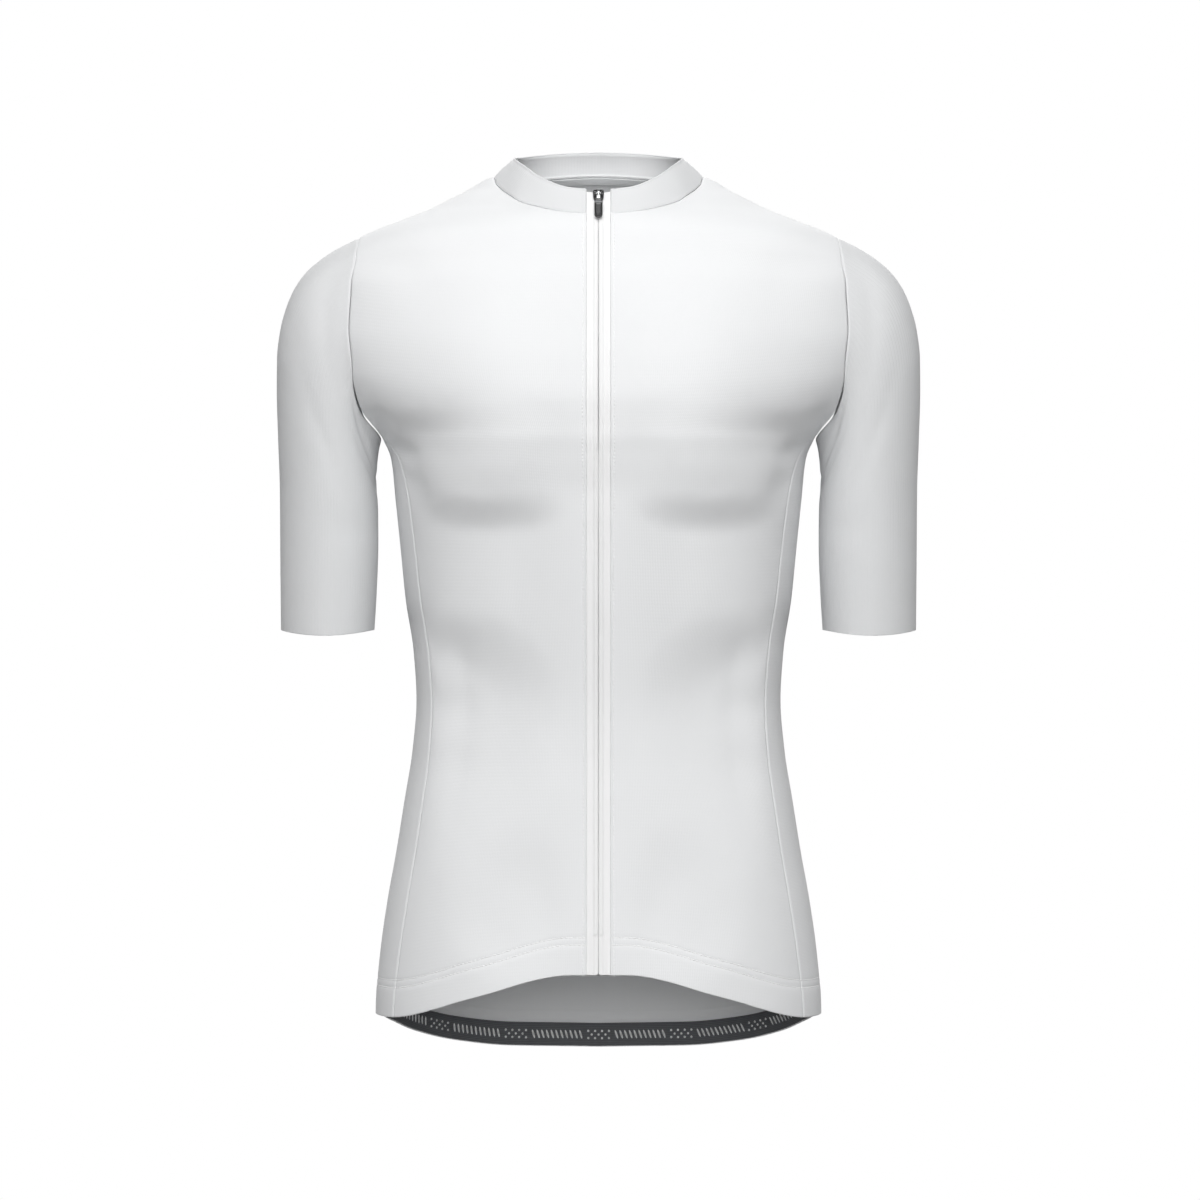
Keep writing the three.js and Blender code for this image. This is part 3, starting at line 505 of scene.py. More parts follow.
def sidePanel():
    # Side panel: rows run from the front seam to the back seam, the first along the underarm
    turnFront, zFront, _ = outerEdge(True)
    turnBack, zBack, _ = outerEdge(False)
    start = len(zFront) - 90 - len(hemRows) - 1
    a = spread(95, 3.2, edgeColumns, edgeColumns)[None, :]
    zf, zb = zFront[start:, None], zBack[start:, None]
    z = zf + (zb - zf) * a
    tf, tb = turnFront[start:, None], turnBack[start:, None]
    turn = tf + (tb - tf) * a
    # top edge on the armhole's lowest arc, and the hem's own curve at the bottom
    angle = np.radians(165 + 30 * a)
    topTurn, topZ = armholeAt(angle)
    fall = np.exp(-(zf[0] - zf) / 14)
    z = z + (topZ - z[:1]) * fall
    turn[0] = topTurn[0]
    away = zf - zf[-1]
    fade = 1 - smooth(40, 200, away)
    z = z + (hemAt(turn) - z[-1:]) * fade * (a > 0) * (a < 1)
    return turn, z


def clothNormals(points, outward=1):
    # Across the surface: cross product of the steps down and along, turned outwards
    down, along = np.gradient(points, axis=0), np.gradient(points, axis=1)
    return unit(np.cross(down, along)) * outward


def rimRound(distance, thickness):
    # How far each face draws in at a cut edge, so that the edge is round: a circle's own profile
    radius = thickness / 2
    part = np.clip(distance / radius, 0, 1)
    return radius * (1 - np.sqrt(np.clip(1 - (1 - part) ** 2, 0.02, 1)))


def edgeDistance(points, edge):
    # Shortest distance from each point of a grid to a line of points, by its straight pieces
    start, step = edge[:-1], np.diff(edge, axis=0)
    keep = np.linalg.norm(step, axis=-1) > 1e-6
    start, step = start[keep], step[keep]
    offset = points.reshape(-1, 1, 3) - start
    share = np.clip(np.sum(offset * step, -1) / np.sum(step * step, -1), 0, 1)
    return np.linalg.norm(offset - share[..., None] * step, axis=-1).min(1).reshape(points.shape[:2])


def seamGroove(distance):
    # Valley that a seam pulls into the cloth beside it
    return -panel["seamDepth"] * hill(distance, panel["seamWidth"])


def wrapNormals(points, outward):
    # The same on a grid whose columns go all the way round
    wide = np.concatenate([points[:, -1:], points, points[:, :1]], 1)
    down, along = np.gradient(wide, axis=0)[:, 1:-1], np.gradient(wide, axis=1)[:, 1:-1]
    return unit(np.cross(down, along)) * outward


def mirroredX(points):
    return points * np.array([-1, 1, 1])


# Fuller forms than the CAD's, each a soft-edged patch: middle (x, z), reach (across, up, down),
# how much of it is level, height
frontPatches = [
    ((73, -221), (61, 58, 27), 0.1, 7.4), ((92, -368), (60, 58, 110), 0.3, -5.4),
    ((58, -512), (44, 60, 44), 0.3, -2.2),
]
# The same down the middle, where the cloth hangs straight from the chest; the zip follows these
middlePatches = [((0, -250), (54, 64, 150), 0.15, 6.2)]
# Creases and soft folds drawn one by one: ends (turn, z), half width in mm, height in mm
frontCreases = [
    ((80, -176), (60, -168), 7, -1.6), ((76, -188), (56, -196), 7, -1.2), ((84, -150), (70, -132), 8, -1.2),
    ((66, -214), (46, -226), 12, -0.9), ((64, -330), (40, -338), 13, -0.8),
    ((64, -372), (42, -366), 12, -0.8), ((36, -74), (58, -60), 14, -0.8),
]
backCreases = [
    ((98, -176), (118, -168), 7, -1.6), ((100, -190), (122, -200), 8, -1.2),
    ((112, -330), (140, -342), 14, -1.0), ((116, -366), (146, -358), 13, -1.0),
    ((114, -400), (142, -412), 14, -0.8), ((120, -90), (146, -110), 16, -0.8),
]


def creaseRelief(points, creases):
    # Sum of grooves: depth times a bell curve of the distance from a line, fading at its ends
    total = np.zeros(points.shape[:2])
    for start, end, width, height in creases:
        a, b = bodyPoint(*start), bodyPoint(*end)
        line = b - a
        length = np.linalg.norm(line)
        along = (points - a) @ line / length ** 2
        away = np.linalg.norm(points - a - np.clip(along, 0, 1)[..., None] * line, axis=-1)
        fade = smooth(-0.25, 0.35, along) * (1 - smooth(0.65, 1.25, along))
        total += height * hill(away, width) * fade
        total -= 0.45 * height * hill(away - 1.9 * width, width * 1.1) * fade
    return total


def patchRelief(points, patches):
    # Sum of soft-edged patches: height times an S curve of the distance from the middle in reaches
    total = np.zeros(points.shape[:2])
    for (x, z), (across, up, below), level, height in patches:
        offX, offZ = np.abs(points[..., 0]) - x, points[..., 2] - z
        away = np.hypot(offX / across, offZ / np.where(offZ > 0, up, below))
        total += height * (1 - smooth(level, 1.15, away))
    return total


fabric = {"white": "#f3f4f5", "threadWhite": "#f7f7f7", "waleMm": 1.1, "courseMm": 0.95, "bumpMm": 0.10,
          "roughness": 0.82, "sheen": 0.12}


def knitMaterial(name, colour, across, along, bumpMm, ribs=0.0, ribMm=2.4, roughness=None):
    # Warp-knitted polyester: fine upright wales crossed by rows of loops. Matt, faint soft sheen.
    # The real wales are about 0.5 mm apart; they are drawn about 1 mm apart so that they show.
    material, tree, shader = newMaterial(name, **{
        "Roughness": roughness or fabric["roughness"], "Sheen Weight": fabric["sheen"],
        "Sheen Roughness": 0.4, "IOR": 1.5, "Specular IOR Level": 0.25})
    coords = addNode(tree, "ShaderNodeTexCoord")
    wales = addNode(tree, "ShaderNodeTexWave", {"Vector": (coords, "UV"), "Scale": waveScale(across),
                                                "Distortion": 0.6, "Detail": 1.0}, bands_direction="X")
    courses = addNode(tree, "ShaderNodeTexWave", {"Vector": (coords, "UV"), "Scale": waveScale(along),
                                                  "Distortion": 0.8, "Detail": 1.0}, bands_direction="Y")
    loops = addNode(tree, "ShaderNodeMath", {0: (wales, "Fac"), 1: (courses, "Fac")}, operation="MULTIPLY")
    fuzz = addNode(tree, "ShaderNodeTexNoise", {"Vector": (coords, "UV"), "Scale": 900.0, "Detail": 2.0})
    height = addNode(tree, "ShaderNodeMath", {0: (fuzz, "Fac"), 1: 0.35, 2: (loops, "Value")},
                     operation="MULTIPLY_ADD")
    if ribs:
        rib = addNode(tree, "ShaderNodeTexWave", {"Vector": (coords, "UV"), "Scale": waveScale(ribMm),
                                                  "Distortion": 0.3}, bands_direction="X")
        height = addNode(tree, "ShaderNodeMath", {0: (rib, "Fac"), 1: ribs, 2: (height, "Value")},
                         operation="MULTIPLY_ADD")
    bump = addNode(tree, "ShaderNodeBump", {"Height": (height, "Value"), "Strength": 0.6,
                                            "Distance": bumpMm / 1000})
    tree.links.new(bump.outputs["Normal"], shader.inputs["Normal"])
    patch = addNode(tree, "ShaderNodeTexNoise", {"Vector": (coords, "Object"), "Scale": 22.0, "Detail": 3.0})
    low = tuple(c * 0.972 for c in linearColour(colour)[:3]) + (1.0,)
    ramp = addNode(tree, "ShaderNodeMix", {"Factor": (patch, "Fac")}, data_type="RGBA")
    ramp.inputs[6].default_value = low
    ramp.inputs[7].default_value = linearColour(colour)
    tree.links.new(ramp.outputs[2], shader.inputs["Base Color"])
    return material


bodyKnit = knitMaterial("white polyester warp knit", fabric["white"], fabric["waleMm"], fabric["courseMm"],
                        fabric["bumpMm"])
# The sleeve knit's grey tone is painted shade: the sleeves are the same white cloth, drawn darker to stand in
# for the shade on them. Its ribs are real.
sleeveKnitGreyedForShade = knitMaterial("white ribbed sleeve knit, greyed as painted shade", "#e5e6e7", 1.2, 0.9, 0.14, ribs=0.8)
# The collar knit's grey tone is painted shade: the collar is the same white cloth, drawn darker so that it
# looks less brightly lit.
collarKnitGreyedForShade = knitMaterial("white double collar knit, greyed as painted shade", "#e8e9ea", 1.1, 0.95, 0.10)
tapeKnit = knitMaterial("white woven seam tape", "#eef0f1", 0.8, 1.6, 0.10)


def threadMaterial():
    # Spun polyester thread: soft, slightly shinier than the cloth, twisted so it breaks the light
    material, tree, shader = newMaterial("white polyester thread", **{
        "Base Color": linearColour(fabric["threadWhite"]), "Roughness": 0.6, "Sheen Weight": 0.2,
        "Specular IOR Level": 0.4})
    coords = addNode(tree, "ShaderNodeTexCoord")
    twist = addNode(tree, "ShaderNodeTexWave", {"Vector": (coords, "Object"), "Scale": waveScale(0.4)},
                    bands_direction="DIAGONAL")
    bump = addNode(tree, "ShaderNodeBump", {"Height": (twist, "Fac"), "Strength": 0.4, "Distance": 0.00004})
    tree.links.new(bump.outputs["Normal"], shader.inputs["Normal"])
    return material


thread = threadMaterial()
stitchShapes = {"hem_stitching": [], "zip_stitching": [], "pocket_stitching": []}


def bothSides(shapes):
    # A shape and its mirror on the other side, with the mirrored faces turned round
    for points, faces in list(shapes):
        shapes.append((mirroredX(points), faces[:, ::-1]))


def panelRelief(points, grooves, stitchRows=None, creases=()):
    # Height of the cloth over the plain surface: seams at named edges, stitch lines above the hem, creases
    relief = np.zeros(points.shape[:2])
    along = arcAlong(points, 1)
    down = arcAlong(points, 0)
    edges = {"inner": points[:, 0], "outer": points[:, -1], "top": points[0]}
    for edge in grooves:
        relief += seamGroove(edgeDistance(points, edges[edge]))
    fromHem = down[-1:] - down
    if stitchRows:
        for height in stitchRows:
            relief -= panel["stitchSink"] * hill(fromHem - height, 0.8)
        relief += 0.14 * (1 - smooth(19.5, 21.5, fromHem))
    if len(creases):
        relief += creaseRelief(points, creases) * smooth(0, 8, along[:, -1:] - along)
    return relief, along, down, fromHem


def makeFronts():
    turn, z = halfPanel(True)
    points, up = bodyPoint(turn, z), bodyNormal(turn, z)
    relief, along, down, fromHem = panelRelief(points, ("outer", "top"), panel["hemStitches"], frontCreases)
    fromSide = smooth(0, 34, along[:, -1:] - along)
    relief += patchRelief(points, frontPatches) * smooth(0, 30, along) * fromSide
    relief += patchRelief(points, middlePatches) * fromSide
    # folded edge beside the zip, sewn flat 1.6 mm in
    relief += 0.55 * hill(along - 0.9, 0.8) + 0.20 * hill(along - 3.6, 1.2) - 0.22 * hill(along - 2.1, 0.5)
    thickness = panel["cloth"] + 0.35 * (1 - smooth(19.5, 21.5, fromHem))
    rim = rimRound(fromHem, thickness)
    uv = knitMap(turn, z)
    for side, flip in (("left", 1), ("right", -1)):
        p, normal = (points, up) if flip > 0 else (mirroredX(points), mirroredX(up))
        outer = p + normal * (relief - rim)[..., None]
        inner = p + normal * (relief - thickness + rim)[..., None]
        made = makeShell(f"panel_front_{side}", outer, inner, bodyKnit, uv)
        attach(made, "jersey")
        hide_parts(f"front_{side}")
        if flip > 0:
            for height in panel["hemStitches"]:
                row = hemRows.index(height) - len(hemRows)
                stitchShapes["hem_stitching"].append(stitchRun(outer[row], normal[row], 3.0, 2.4, 0.34))
            column = 4  # 1.8 mm from the edge
            stitchShapes["zip_stitching"].append(
                stitchRun(outer[:, column], normal[:, column], 2.6, 2.0, 0.26))
    print("fronts made")


def makeBack():
    turn, z = halfPanel(False)
    points, up = bodyPoint(turn, z), bodyNormal(turn, z)
    relief, along, down, fromHem = panelRelief(points, ("outer", "top"), panel["hemStitches"], backCreases)
    left = points[:, ::-1]
    both = np.concatenate([left, mirroredX(points[:, 1:])], 1)
    wide = np.concatenate([relief[:, ::-1], relief[:, 1:]], 1)
    cloth = knitMap(turn, z)
    hemBoth = np.concatenate([fromHem[:, ::-1], fromHem[:, 1:]], 1)
    thickness = panel["cloth"] + 0.35 * (1 - smooth(19.5, 21.5, hemBoth))
    rim = rimRound(hemBoth, thickness)
    normal = np.concatenate([up[:, ::-1], mirroredX(up[:, 1:])], 1)
    outer = both + normal * (wide - rim)[..., None]
    inner = both + normal * (wide - thickness + rim)[..., None]
    middle = knitMap(180.0, 0.0)
    uv = np.concatenate([cloth[:, ::-1] - middle, (cloth[:, 1:] - middle) * [-1, 1]], 1)
    made = makeShell("panel_back", outer, inner, bodyKnit, uv)
    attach(made, "jersey")
    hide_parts("back")
    for height in panel["hemStitches"]:
        row = hemRows.index(height) - len(hemRows)
        half = slice(0, points.shape[1])
        stitchShapes["hem_stitching"].append(stitchRun(outer[row, half], normal[row, half], 3.0, 2.4, 0.34))
    print("back made")


def makeSides():
    turn, z = sidePanel()
    points, up = bodyPoint(turn, z), bodyNormal(turn, z)
    relief, along, down, fromHem = panelRelief(points, ("inner", "outer", "top"), panel["hemStitches"])
    thickness = panel["cloth"] + 0.35 * (1 - smooth(19.5, 21.5, fromHem))
    rim = rimRound(fromHem, thickness)
    uv = knitMap(turn, z)
    for side, flip in (("left", 1), ("right", -1)):
        p, normal = (points, up) if flip > 0 else (mirroredX(points), mirroredX(up))
        outer = p + normal * (relief - rim)[..., None]
        inner = p + normal * (relief - thickness + rim)[..., None]
        made = makeShell(f"panel_side_{side}", outer, inner, bodyKnit, uv)
        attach(made, "jersey")
        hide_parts(f"side_{side}")
        if flip > 0:
            for height in panel["hemStitches"]:
                row = hemRows.index(height) - len(hemRows)
                stitchShapes["hem_stitching"].append(stitchRun(outer[row], normal[row], 3.0, 2.4, 0.34))
    print("side panels made")


# Sleeves

sleeveOuter = np.array([(168, -44), (184.5, -52.5), (195.7, -60), (205, -68.5), (213, -80), (218.5, -93),
                        (222.5, -108), (224.8, -128), (225, -150), (224, -185), (222.8, -220),
                        (222.4, -270), (221.9, -318)])
sleeveInner = np.array([(151.5, -184), (153.6, -192), (155, -204), (155.2, -216), (154.4, -235),
                        (154.2, -258), (155.2, -290), (156.8, -318)])
sleeveDepth = np.array([(0, 47, 52, 2), (0.25, 50, 52, 1), (0.6, 47, 47, 0), (1, 43, 43, -2)])
sleeve = {"gap": 0.45, "lag": 1.15, "full": 0.92, "fade": 0.4, "cuffDip": 3.6, "cuffReach": 6,
          "around": 120, "wall": 0.8}


def linePath(table):
    gone = arcAlong(table, 0)
    share = gone / gone[-1]
    return curve(share, table[:, 0]), curve(share, table[:, 1])


outerX, outerZLine = linePath(sleeveOuter)
innerX, innerZLine = linePath(sleeveInner)
frontDepth, backDepth, middleY = (curve(sleeveDepth[:, 0], sleeveDepth[:, k]) for k in (1, 2, 3))


def sleeveOval(angle, along):
    # Oval ring between the sleeve's outer and inner line: x and z by cosine, y by a full sine
    c, s = (1 + np.cos(angle)) / 2, np.sin(angle)
    inner = along ** sleeve["lag"]
    x = innerX(inner) + (outerX(along) - innerX(inner)) * c
    z = innerZLine(inner) + (outerZLine(along) - innerZLine(inner)) * c
    depth = np.where(s > 0, frontDepth(along), backDepth(along))
    y = middleY(along) - depth * np.sign(s) * np.abs(s) ** sleeve["full"]
    z = z - sleeve["cuffDip"] * np.clip(s, 0, 1) ** 2 * along ** sleeve["cuffReach"]
    return np.stack([x, y, z], -1)


def sleevePoint(angle, along):
    # The oval, drawn to the armhole loop at its head
    turn, z = armholeAt(angle)
    head = bodyPoint(turn, z) + np.array([sleeve["gap"], 0, 0])
    fade = np.clip(1 - along / sleeve["fade"], 0, 1) ** 2
    return sleeveOval(angle, along) + (head - sleeveOval(angle, np.zeros_like(along))) * fade[..., None]


# Soft folds of the sleeve: middle (angle in degrees, share along), reach in degrees and share, slant, height
sleeveFolds = [
    (150, 0.16, 26, 0.035, 0.10, -1.6), (158, 0.27, 22, 0.03, 0.05, -1.2), (205, 0.18, 28, 0.035, -0.1, -1.6),
    (60, 0.10, 30, 0.05, 0.06, -0.8), (95, 0.42, 34, 0.06, 0.10, -0.7), (262, 0.40, 36, 0.06, -0.1, -0.9),
    (120, 0.62, 30, 0.05, -0.06, -0.6),
]


def makeSleeves():
    angle = np.linspace(0, 2 * np.pi, sleeve["around"], endpoint=False)[None, :]
    length = 276
    starts, ends = [0, 0.3, 0.7, 1.2, 1.8, 2.6, 3.8, 5.5, 8], [0, 0.1, 0.25, 0.45, 0.8, 1.4, 2.4, 4]
    along = spread(length, 3.4, starts, ends)[:, None]
    a, v = np.broadcast_arrays(angle, along)
    points = sleevePoint(a, v)
    down = arcAlong(points, 0)
    fromCuff = down[-1:] - down
    relief = seamGroove(down) - 0.35 * hill((a - np.pi) * 45, 0.9)
    for at, share, reach, width, slant, height in sleeveFolds:
        turned = (np.degrees(a) - at) / reach
        relief += height * np.exp(-turned ** 2 - ((v - share - slant * turned) / width) ** 2)
    thickness = np.full(relief.shape, sleeve["wall"])
    rim = rimRound(fromCuff, thickness)
    closed = np.concatenate([points, points[:, :1]], 1)
    around = arcAlong(closed, 1)
    middle = np.median(around[len(around) // 2:], axis=0)
    u = np.broadcast_to(middle, around.shape)
    downClosed = np.concatenate([down, down[:, :1]], 1)
    uv = np.stack([u, -downClosed], -1) / 1000
    for side, flip in (("left", 1), ("right", -1)):
        p = points if flip > 0 else mirroredX(points)
        normal = wrapNormals(p, -flip)
        outer = p + normal * (relief - rim)[..., None]
        inner = p + normal * (relief - thickness + rim)[..., None]
        made = makeShell(f"cloth_sleeve_{side}", outer, inner, sleeveKnitGreyedForShade, uv, wraps=True)
        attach(made, "jersey")
        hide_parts(f"sleeve_{side}")
    print("sleeves made")


# Collar and the tape inside the neck

collar = {"wall": 1.15, "columns": 130, "stitch": 2.4}


def collarTurns(rise, x):
    # Turn at which the collar lies x from the middle at this rise, by a few fixed-point passes
    start = bodyTurnAt(x, neckAt(0))
    for _ in range(6):
        start = start * x / collarPoint(start, rise)[..., 0]
    return start


def makeCollar():
    rises = np.concatenate([[0.0, 0.015, 0.035, 0.06, 0.095, 0.14], np.linspace(0.2, 0.9, 14),
                            [0.93, 0.955, 0.975, 0.988, 0.996, 1.0]])
    starts = np.array([collarTurns(r, body["zipHalf"]) for r in rises])
    share = spread(165, 1.7, [0, 0.3, 0.7, 1.1, 1.6, 2.2, 3.0], [0, 1.7])[None, :]
    turn = starts[:, None] + (180 - starts[:, None]) * share
    half = collarPoint(turn, rises[:, None])
    half = half[::-1]                       # rows run from the top edge down
    points = np.concatenate([half, mirroredX(half[:, -2::-1])], 1)
    along, down = arcAlong(points, 1), arcAlong(points, 0)
    fromEnd = np.minimum(along, along[:, -1:] - along)
    fromSeam = down[-1:] - down
    relief = seamGroove(fromSeam) + 0.28 * hill(fromEnd - 1.4, 0.8) - 0.3 * hill(fromEnd, 0.6)
    relief += 0.30 * hill(down - 0.75, 0.7) - 0.16 * hill(down - 2.1, 0.6)
    thickness = np.full(relief.shape, collar["wall"])
    rim = rimRound(np.minimum(down, fromEnd), thickness)
    normal = clothNormals(points)
    outer = points + normal * (relief - rim)[..., None]
    inner = points + normal * (relief - thickness + rim)[..., None]
    uv = np.stack([along - along[:, -1:] / 2, -down], -1) / 1000
    # The outer face is greyed as painted shade. The inner face keeps the jersey's own white.
    made = makeShell("band_collar", outer, inner, collarKnitGreyedForShade, uv, lining=bodyKnit)
    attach(made, "jersey")
    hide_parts("collar")
    print("collar made")


neckTape = {"top": -0.45, "bottom": -4.6, "depth": 1.5, "wall": 0.7}


def makeNeckTape():
    turn = np.linspace(94.5, 265.5, 150)[None, :]
    z = np.linspace(neckTape["top"], neckTape["bottom"], 11)[:, None]
    turn, z = np.broadcast_arrays(turn, z)
    normal = bodyNormal(turn, z)
    points = bodyPoint(turn, z) - normal * neckTape["depth"]
    along, down = arcAlong(points, 1), arcAlong(points, 0)
    edge = np.minimum(down, down[-1:] - down)
    thickness = np.full(z.shape, neckTape["wall"])
    rim = rimRound(edge, thickness)
    sink = 0.18 * hill(edge - 1.1, 0.35)
    outer = points - normal * (rim)[..., None]
    inner = points - normal * (thickness - rim - sink)[..., None]
    made = makeShell("tape_neck", outer, inner, tapeKnit, np.stack([along, -down], -1) / 1000)
    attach(made, "jersey")
    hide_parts("neck_tape")
    print("neck tape made")


# Zip

zipTape = {
    "top": 0.93,                 # share of the collar's height that the tapes reach
    "rowMm": 0.45, "pitch": 1.27, "coilEndZ": -523, "wall": 0.75,
    "ridgeAt": 1.85, "ridgeHalf": 1.7, "ridgeHeight": 0.95, "baseDepth": 1.35,
}


def makeZipTapes():
    x = np.array([0.12, 0.28, 0.6, 0.95, 1.3, 1.75, 2.2, 2.6, 3.0, 3.5, 4.3, 5.4, 6.5, 7.4, 8.1, 8.8, 10.0,
                  11.4])
    rises = np.arange(zipTape["top"], 0.02, -0.026)[:, None]
    collarPart = collarPoint(collarTurns(rises, x[None, :]), rises)
    z = np.arange(neckAt(0) - 0.35, hemAt(0), -zipTape["rowMm"])
    z = np.append(z, [hemAt(0) + 0.1, hemAt(0) - 0.5])[:, None]
    z, wide = np.broadcast_arrays(z, x[None, :])
    # rounded lower corners: the last rows curl up at either side of each tape
    corner = 1.9 * (1 - np.sqrt(np.clip(1 - np.clip((1.7 - wide) / 1.5, 0, 1) ** 2, 0, 1)))
    z = z + corner * np.exp((hemAt(0) - z) / 1.2)
    bodyPart = bodyPoint(bodyTurnAt(wide, z), z)
    points = np.concatenate([collarPart, bodyPart])
    down = arcAlong(points, 0)[:, 5:6]
    side = x[None, :] * np.ones_like(down)
    height = points[:, 5:6, 2]
    coil = smooth(zipTape["coilEndZ"] - 1.5, zipTape["coilEndZ"] + 0.5, height)
    ridge = np.clip(1 - ((side - zipTape["ridgeAt"]) / zipTape["ridgeHalf"]) ** 2, 0, 1) ** 0.6
    turns = 0.5 + 0.5 * np.cos(2 * np.pi * (down / zipTape["pitch"] + side * 0.22))
    depth = zipTape["baseDepth"] - zipTape["ridgeHeight"] * ridge * (0.45 + 0.55 * coil)
    depth = depth + coil * 0.10 * ridge * turns + 0.16 * hill(side - 4.3, 0.9) - 0.25 * hill(side - 6.2, 1.2)
    depth = depth - patchRelief(points, middlePatches)
    normal = clothNormals(points)
    rim = rimRound(np.minimum(down, down[-1:] - down), np.full(side.shape, zipTape["wall"]))
    outer = points - normal * (depth + rim)[..., None]
    inner = points - normal * (depth + zipTape["wall"] - rim)[..., None]
    uv = np.stack([side, -down * np.ones_like(side)], -1) / 1000
    for name, flip in (("left", 1), ("right", -1)):
        o, i = (outer, inner) if flip > 0 else (mirroredX(outer), mirroredX(inner))
        made = makeShell(f"zip_side_{name}", o, i, tapeWeave, uv)
        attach(made, "jersey")
        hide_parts(f"zip_tape_{name}")
    print("zip tapes made")


def tapeMaterial():
    # Woven polyester zip tape: close twill, smoother and a little greyer than the knit
    material, tree, shader = newMaterial("white woven polyester zip tape", **{
        "Base Color": linearColour("#f7f7f7"), "Roughness": 0.62, "Specular IOR Level": 0.35,
        "Sheen Weight": 0.08})
    coords = addNode(tree, "ShaderNodeTexCoord")
    twill = addNode(tree, "ShaderNodeTexWave", {"Vector": (coords, "UV"), "Scale": waveScale(0.9),
                                                "Distortion": 0.4}, bands_direction="DIAGONAL")
    weft = addNode(tree, "ShaderNodeTexWave", {"Vector": (coords, "UV"), "Scale": waveScale(0.6)},
                   bands_direction="Y")
    both = addNode(tree, "ShaderNodeMath", {0: (twill, "Fac"), 1: (weft, "Fac")}, operation="ADD")
    bump = addNode(tree, "ShaderNodeBump", {"Height": (both, "Value"), "Strength": 0.5, "Distance": 0.00006})
    tree.links.new(bump.outputs["Normal"], shader.inputs["Normal"])
    return material


tapeWeave = tapeMaterial()

slider = {"topY": 1.6, "length": 9.2, "half": 4.0, "tipHalf": 3.4, "outer": (-1.2, 0.35),
          "inner": (-4.8, -3.6), "pinAt": -3.5, "pinHeight": 2.5, "pinRadius": 0.55, "lugHeight": 3.35}
pullTab = {"half": 2.8, "length": 20.2, "neckHalf": 1.35, "thickness": 1.3, "tilt": 4, "recess": 0.28}


def slab(outline, low, high, bevel, recess=0.0, rim=0.7):
    # Bevelled slab in x, y with its thickness along z: rings of the outline, drawn in along its own
    # normals by a quarter circle at each edge, then caps; a recess sinks the top inside a rim
    steps = np.roll(outline, -1, 0) - np.roll(outline, 1, 0)
    out = unit(np.stack([steps[:, 1], -steps[:, 0]], -1))
    if np.sum(out * (outline - outline.mean(0))) < 0:
        out = -out
    quarter = np.radians([0, 30, 60, 90])
    rings = [(0.45, low, True), (0.0, low, False)]
    rings += [(bevel * (1 - np.sin(q)), low + bevel * (1 - np.cos(q)), False) for q in quarter[1:]]
    rings += [(bevel * (1 - np.sin(q)), high - bevel * (1 - np.cos(q)), False) for q in quarter[::-1]]
    rings[1] = (bevel, low, False)
    if recess:
        rings += [(rim, high, False), (rim + recess * 0.7, high - recess, False)]
        top = high - recess
    else:
        top = high
    rings += [(0.45, top, True)]
    layers = []
    centre = outline.mean(0)
    for inset, height, shrink in rings:
        if shrink:
            flat = centre + (outline - centre) * inset
        else:
            flat = outline - out * inset
        layers.append(np.column_stack([flat, np.full(len(flat), height)]))
    count = len(outline)
    points = np.concatenate(layers + [[[*centre, low]], [[*centre, top]]])
    quads = gridQuads(len(layers), count, True)
    faces = [quads[:, [0, 1, 2]], quads[:, [0, 2, 3]]]
    k = np.arange(count)
    lastRow = (len(layers) - 1) * count
    faces.append(np.stack([np.full(count, len(points) - 2), k, (k + 1) % count], -1))
    faces.append(np.stack([np.full(count, len(points) - 1), lastRow + (k + 1) % count, lastRow + k], -1))
    return facedOut(points, np.concatenate(faces))


def facedOut(points, faces):
    # Turns every triangle over if the closed shape's signed volume is negative
    a, b, c = (points[faces[:, k]] for k in range(3))
    return points, (faces if np.einsum("ij,ij->", a, np.cross(b, c)) > 0 else faces[:, ::-1])


def roundedOutline(half, low, high, square, taper=0.0, count=64):
    # Superellipse outline between two heights, narrower by taper at the lower end
    angle = np.linspace(0, 2 * np.pi, count, endpoint=False)
    c, s = np.cos(angle), np.sin(angle)
    power = 2 / square
    x = half * np.sign(c) * np.abs(c) ** power
    y = (low + high) / 2 + (high - low) / 2 * np.sign(s) * np.abs(s) ** power
    x = x * (1 - taper * (high - y) / (high - low))
    return np.stack([x, y], -1)


def rodShape(half, thick, sides=12):
    # Round rod along x with slightly rounded ends
    turn = np.linspace(0, 2 * np.pi, sides, endpoint=False)
    along = np.array([-1, -0.96, -0.9, 0.9, 0.96, 1]) * half
    size = np.array([0.55, 0.85, 1, 1, 0.85, 0.55]) * thick
    points = np.stack([np.repeat(along, sides), np.outer(size, np.cos(turn)).ravel(),
                       np.outer(size, np.sin(turn)).ravel()], -1)
    quads = gridQuads(len(along), sides, True)
    last = (len(along) - 1) * sides
    caps = [[0, k, k + 1] for k in range(1, sides - 1)]
    caps += [[last, last + k + 1, last + k] for k in range(1, sides - 1)]
    return facedOut(points, np.concatenate([quads[:, [0, 1, 2]], quads[:, [0, 2, 3]], np.array(caps)]))


def ringShape(radius, thick, width, count=40, sides=12):
    # Torus round the x axis, stretched to a width of twice the wire's radius times width
    around, section = np.meshgrid(np.linspace(0, 2 * np.pi, count, endpoint=False),
                                  np.linspace(0, 2 * np.pi, sides, endpoint=False), indexing="ij")
    far = radius + thick * np.cos(section)
    points = np.stack([width * thick * np.sin(section), far * np.cos(around), far * np.sin(around)], -1)
    quads = gridQuads(count + 1, sides, True) % (count * sides)
    return facedOut(points.reshape(-1, 3), np.concatenate([quads[:, [0, 1, 2]], quads[:, [0, 2, 3]]]))


def tabOutline(half, low, high, corner):
    # Straight sides, a half circle at the low end and small round corners at the high end
    bottom, turned = np.radians(np.linspace(180, 360, 28)), np.radians(np.linspace(0, 90, 8))
    ends = [np.stack([half * np.cos(bottom), low + half + half * np.sin(bottom)], -1)]
    side, top = half - corner + corner * np.cos(turned), high - corner + corner * np.sin(turned)
    ends.append(np.stack([side, top], -1))
    ends.append(ends[1][::-1] * [-1, 1])
    return np.concatenate(ends)


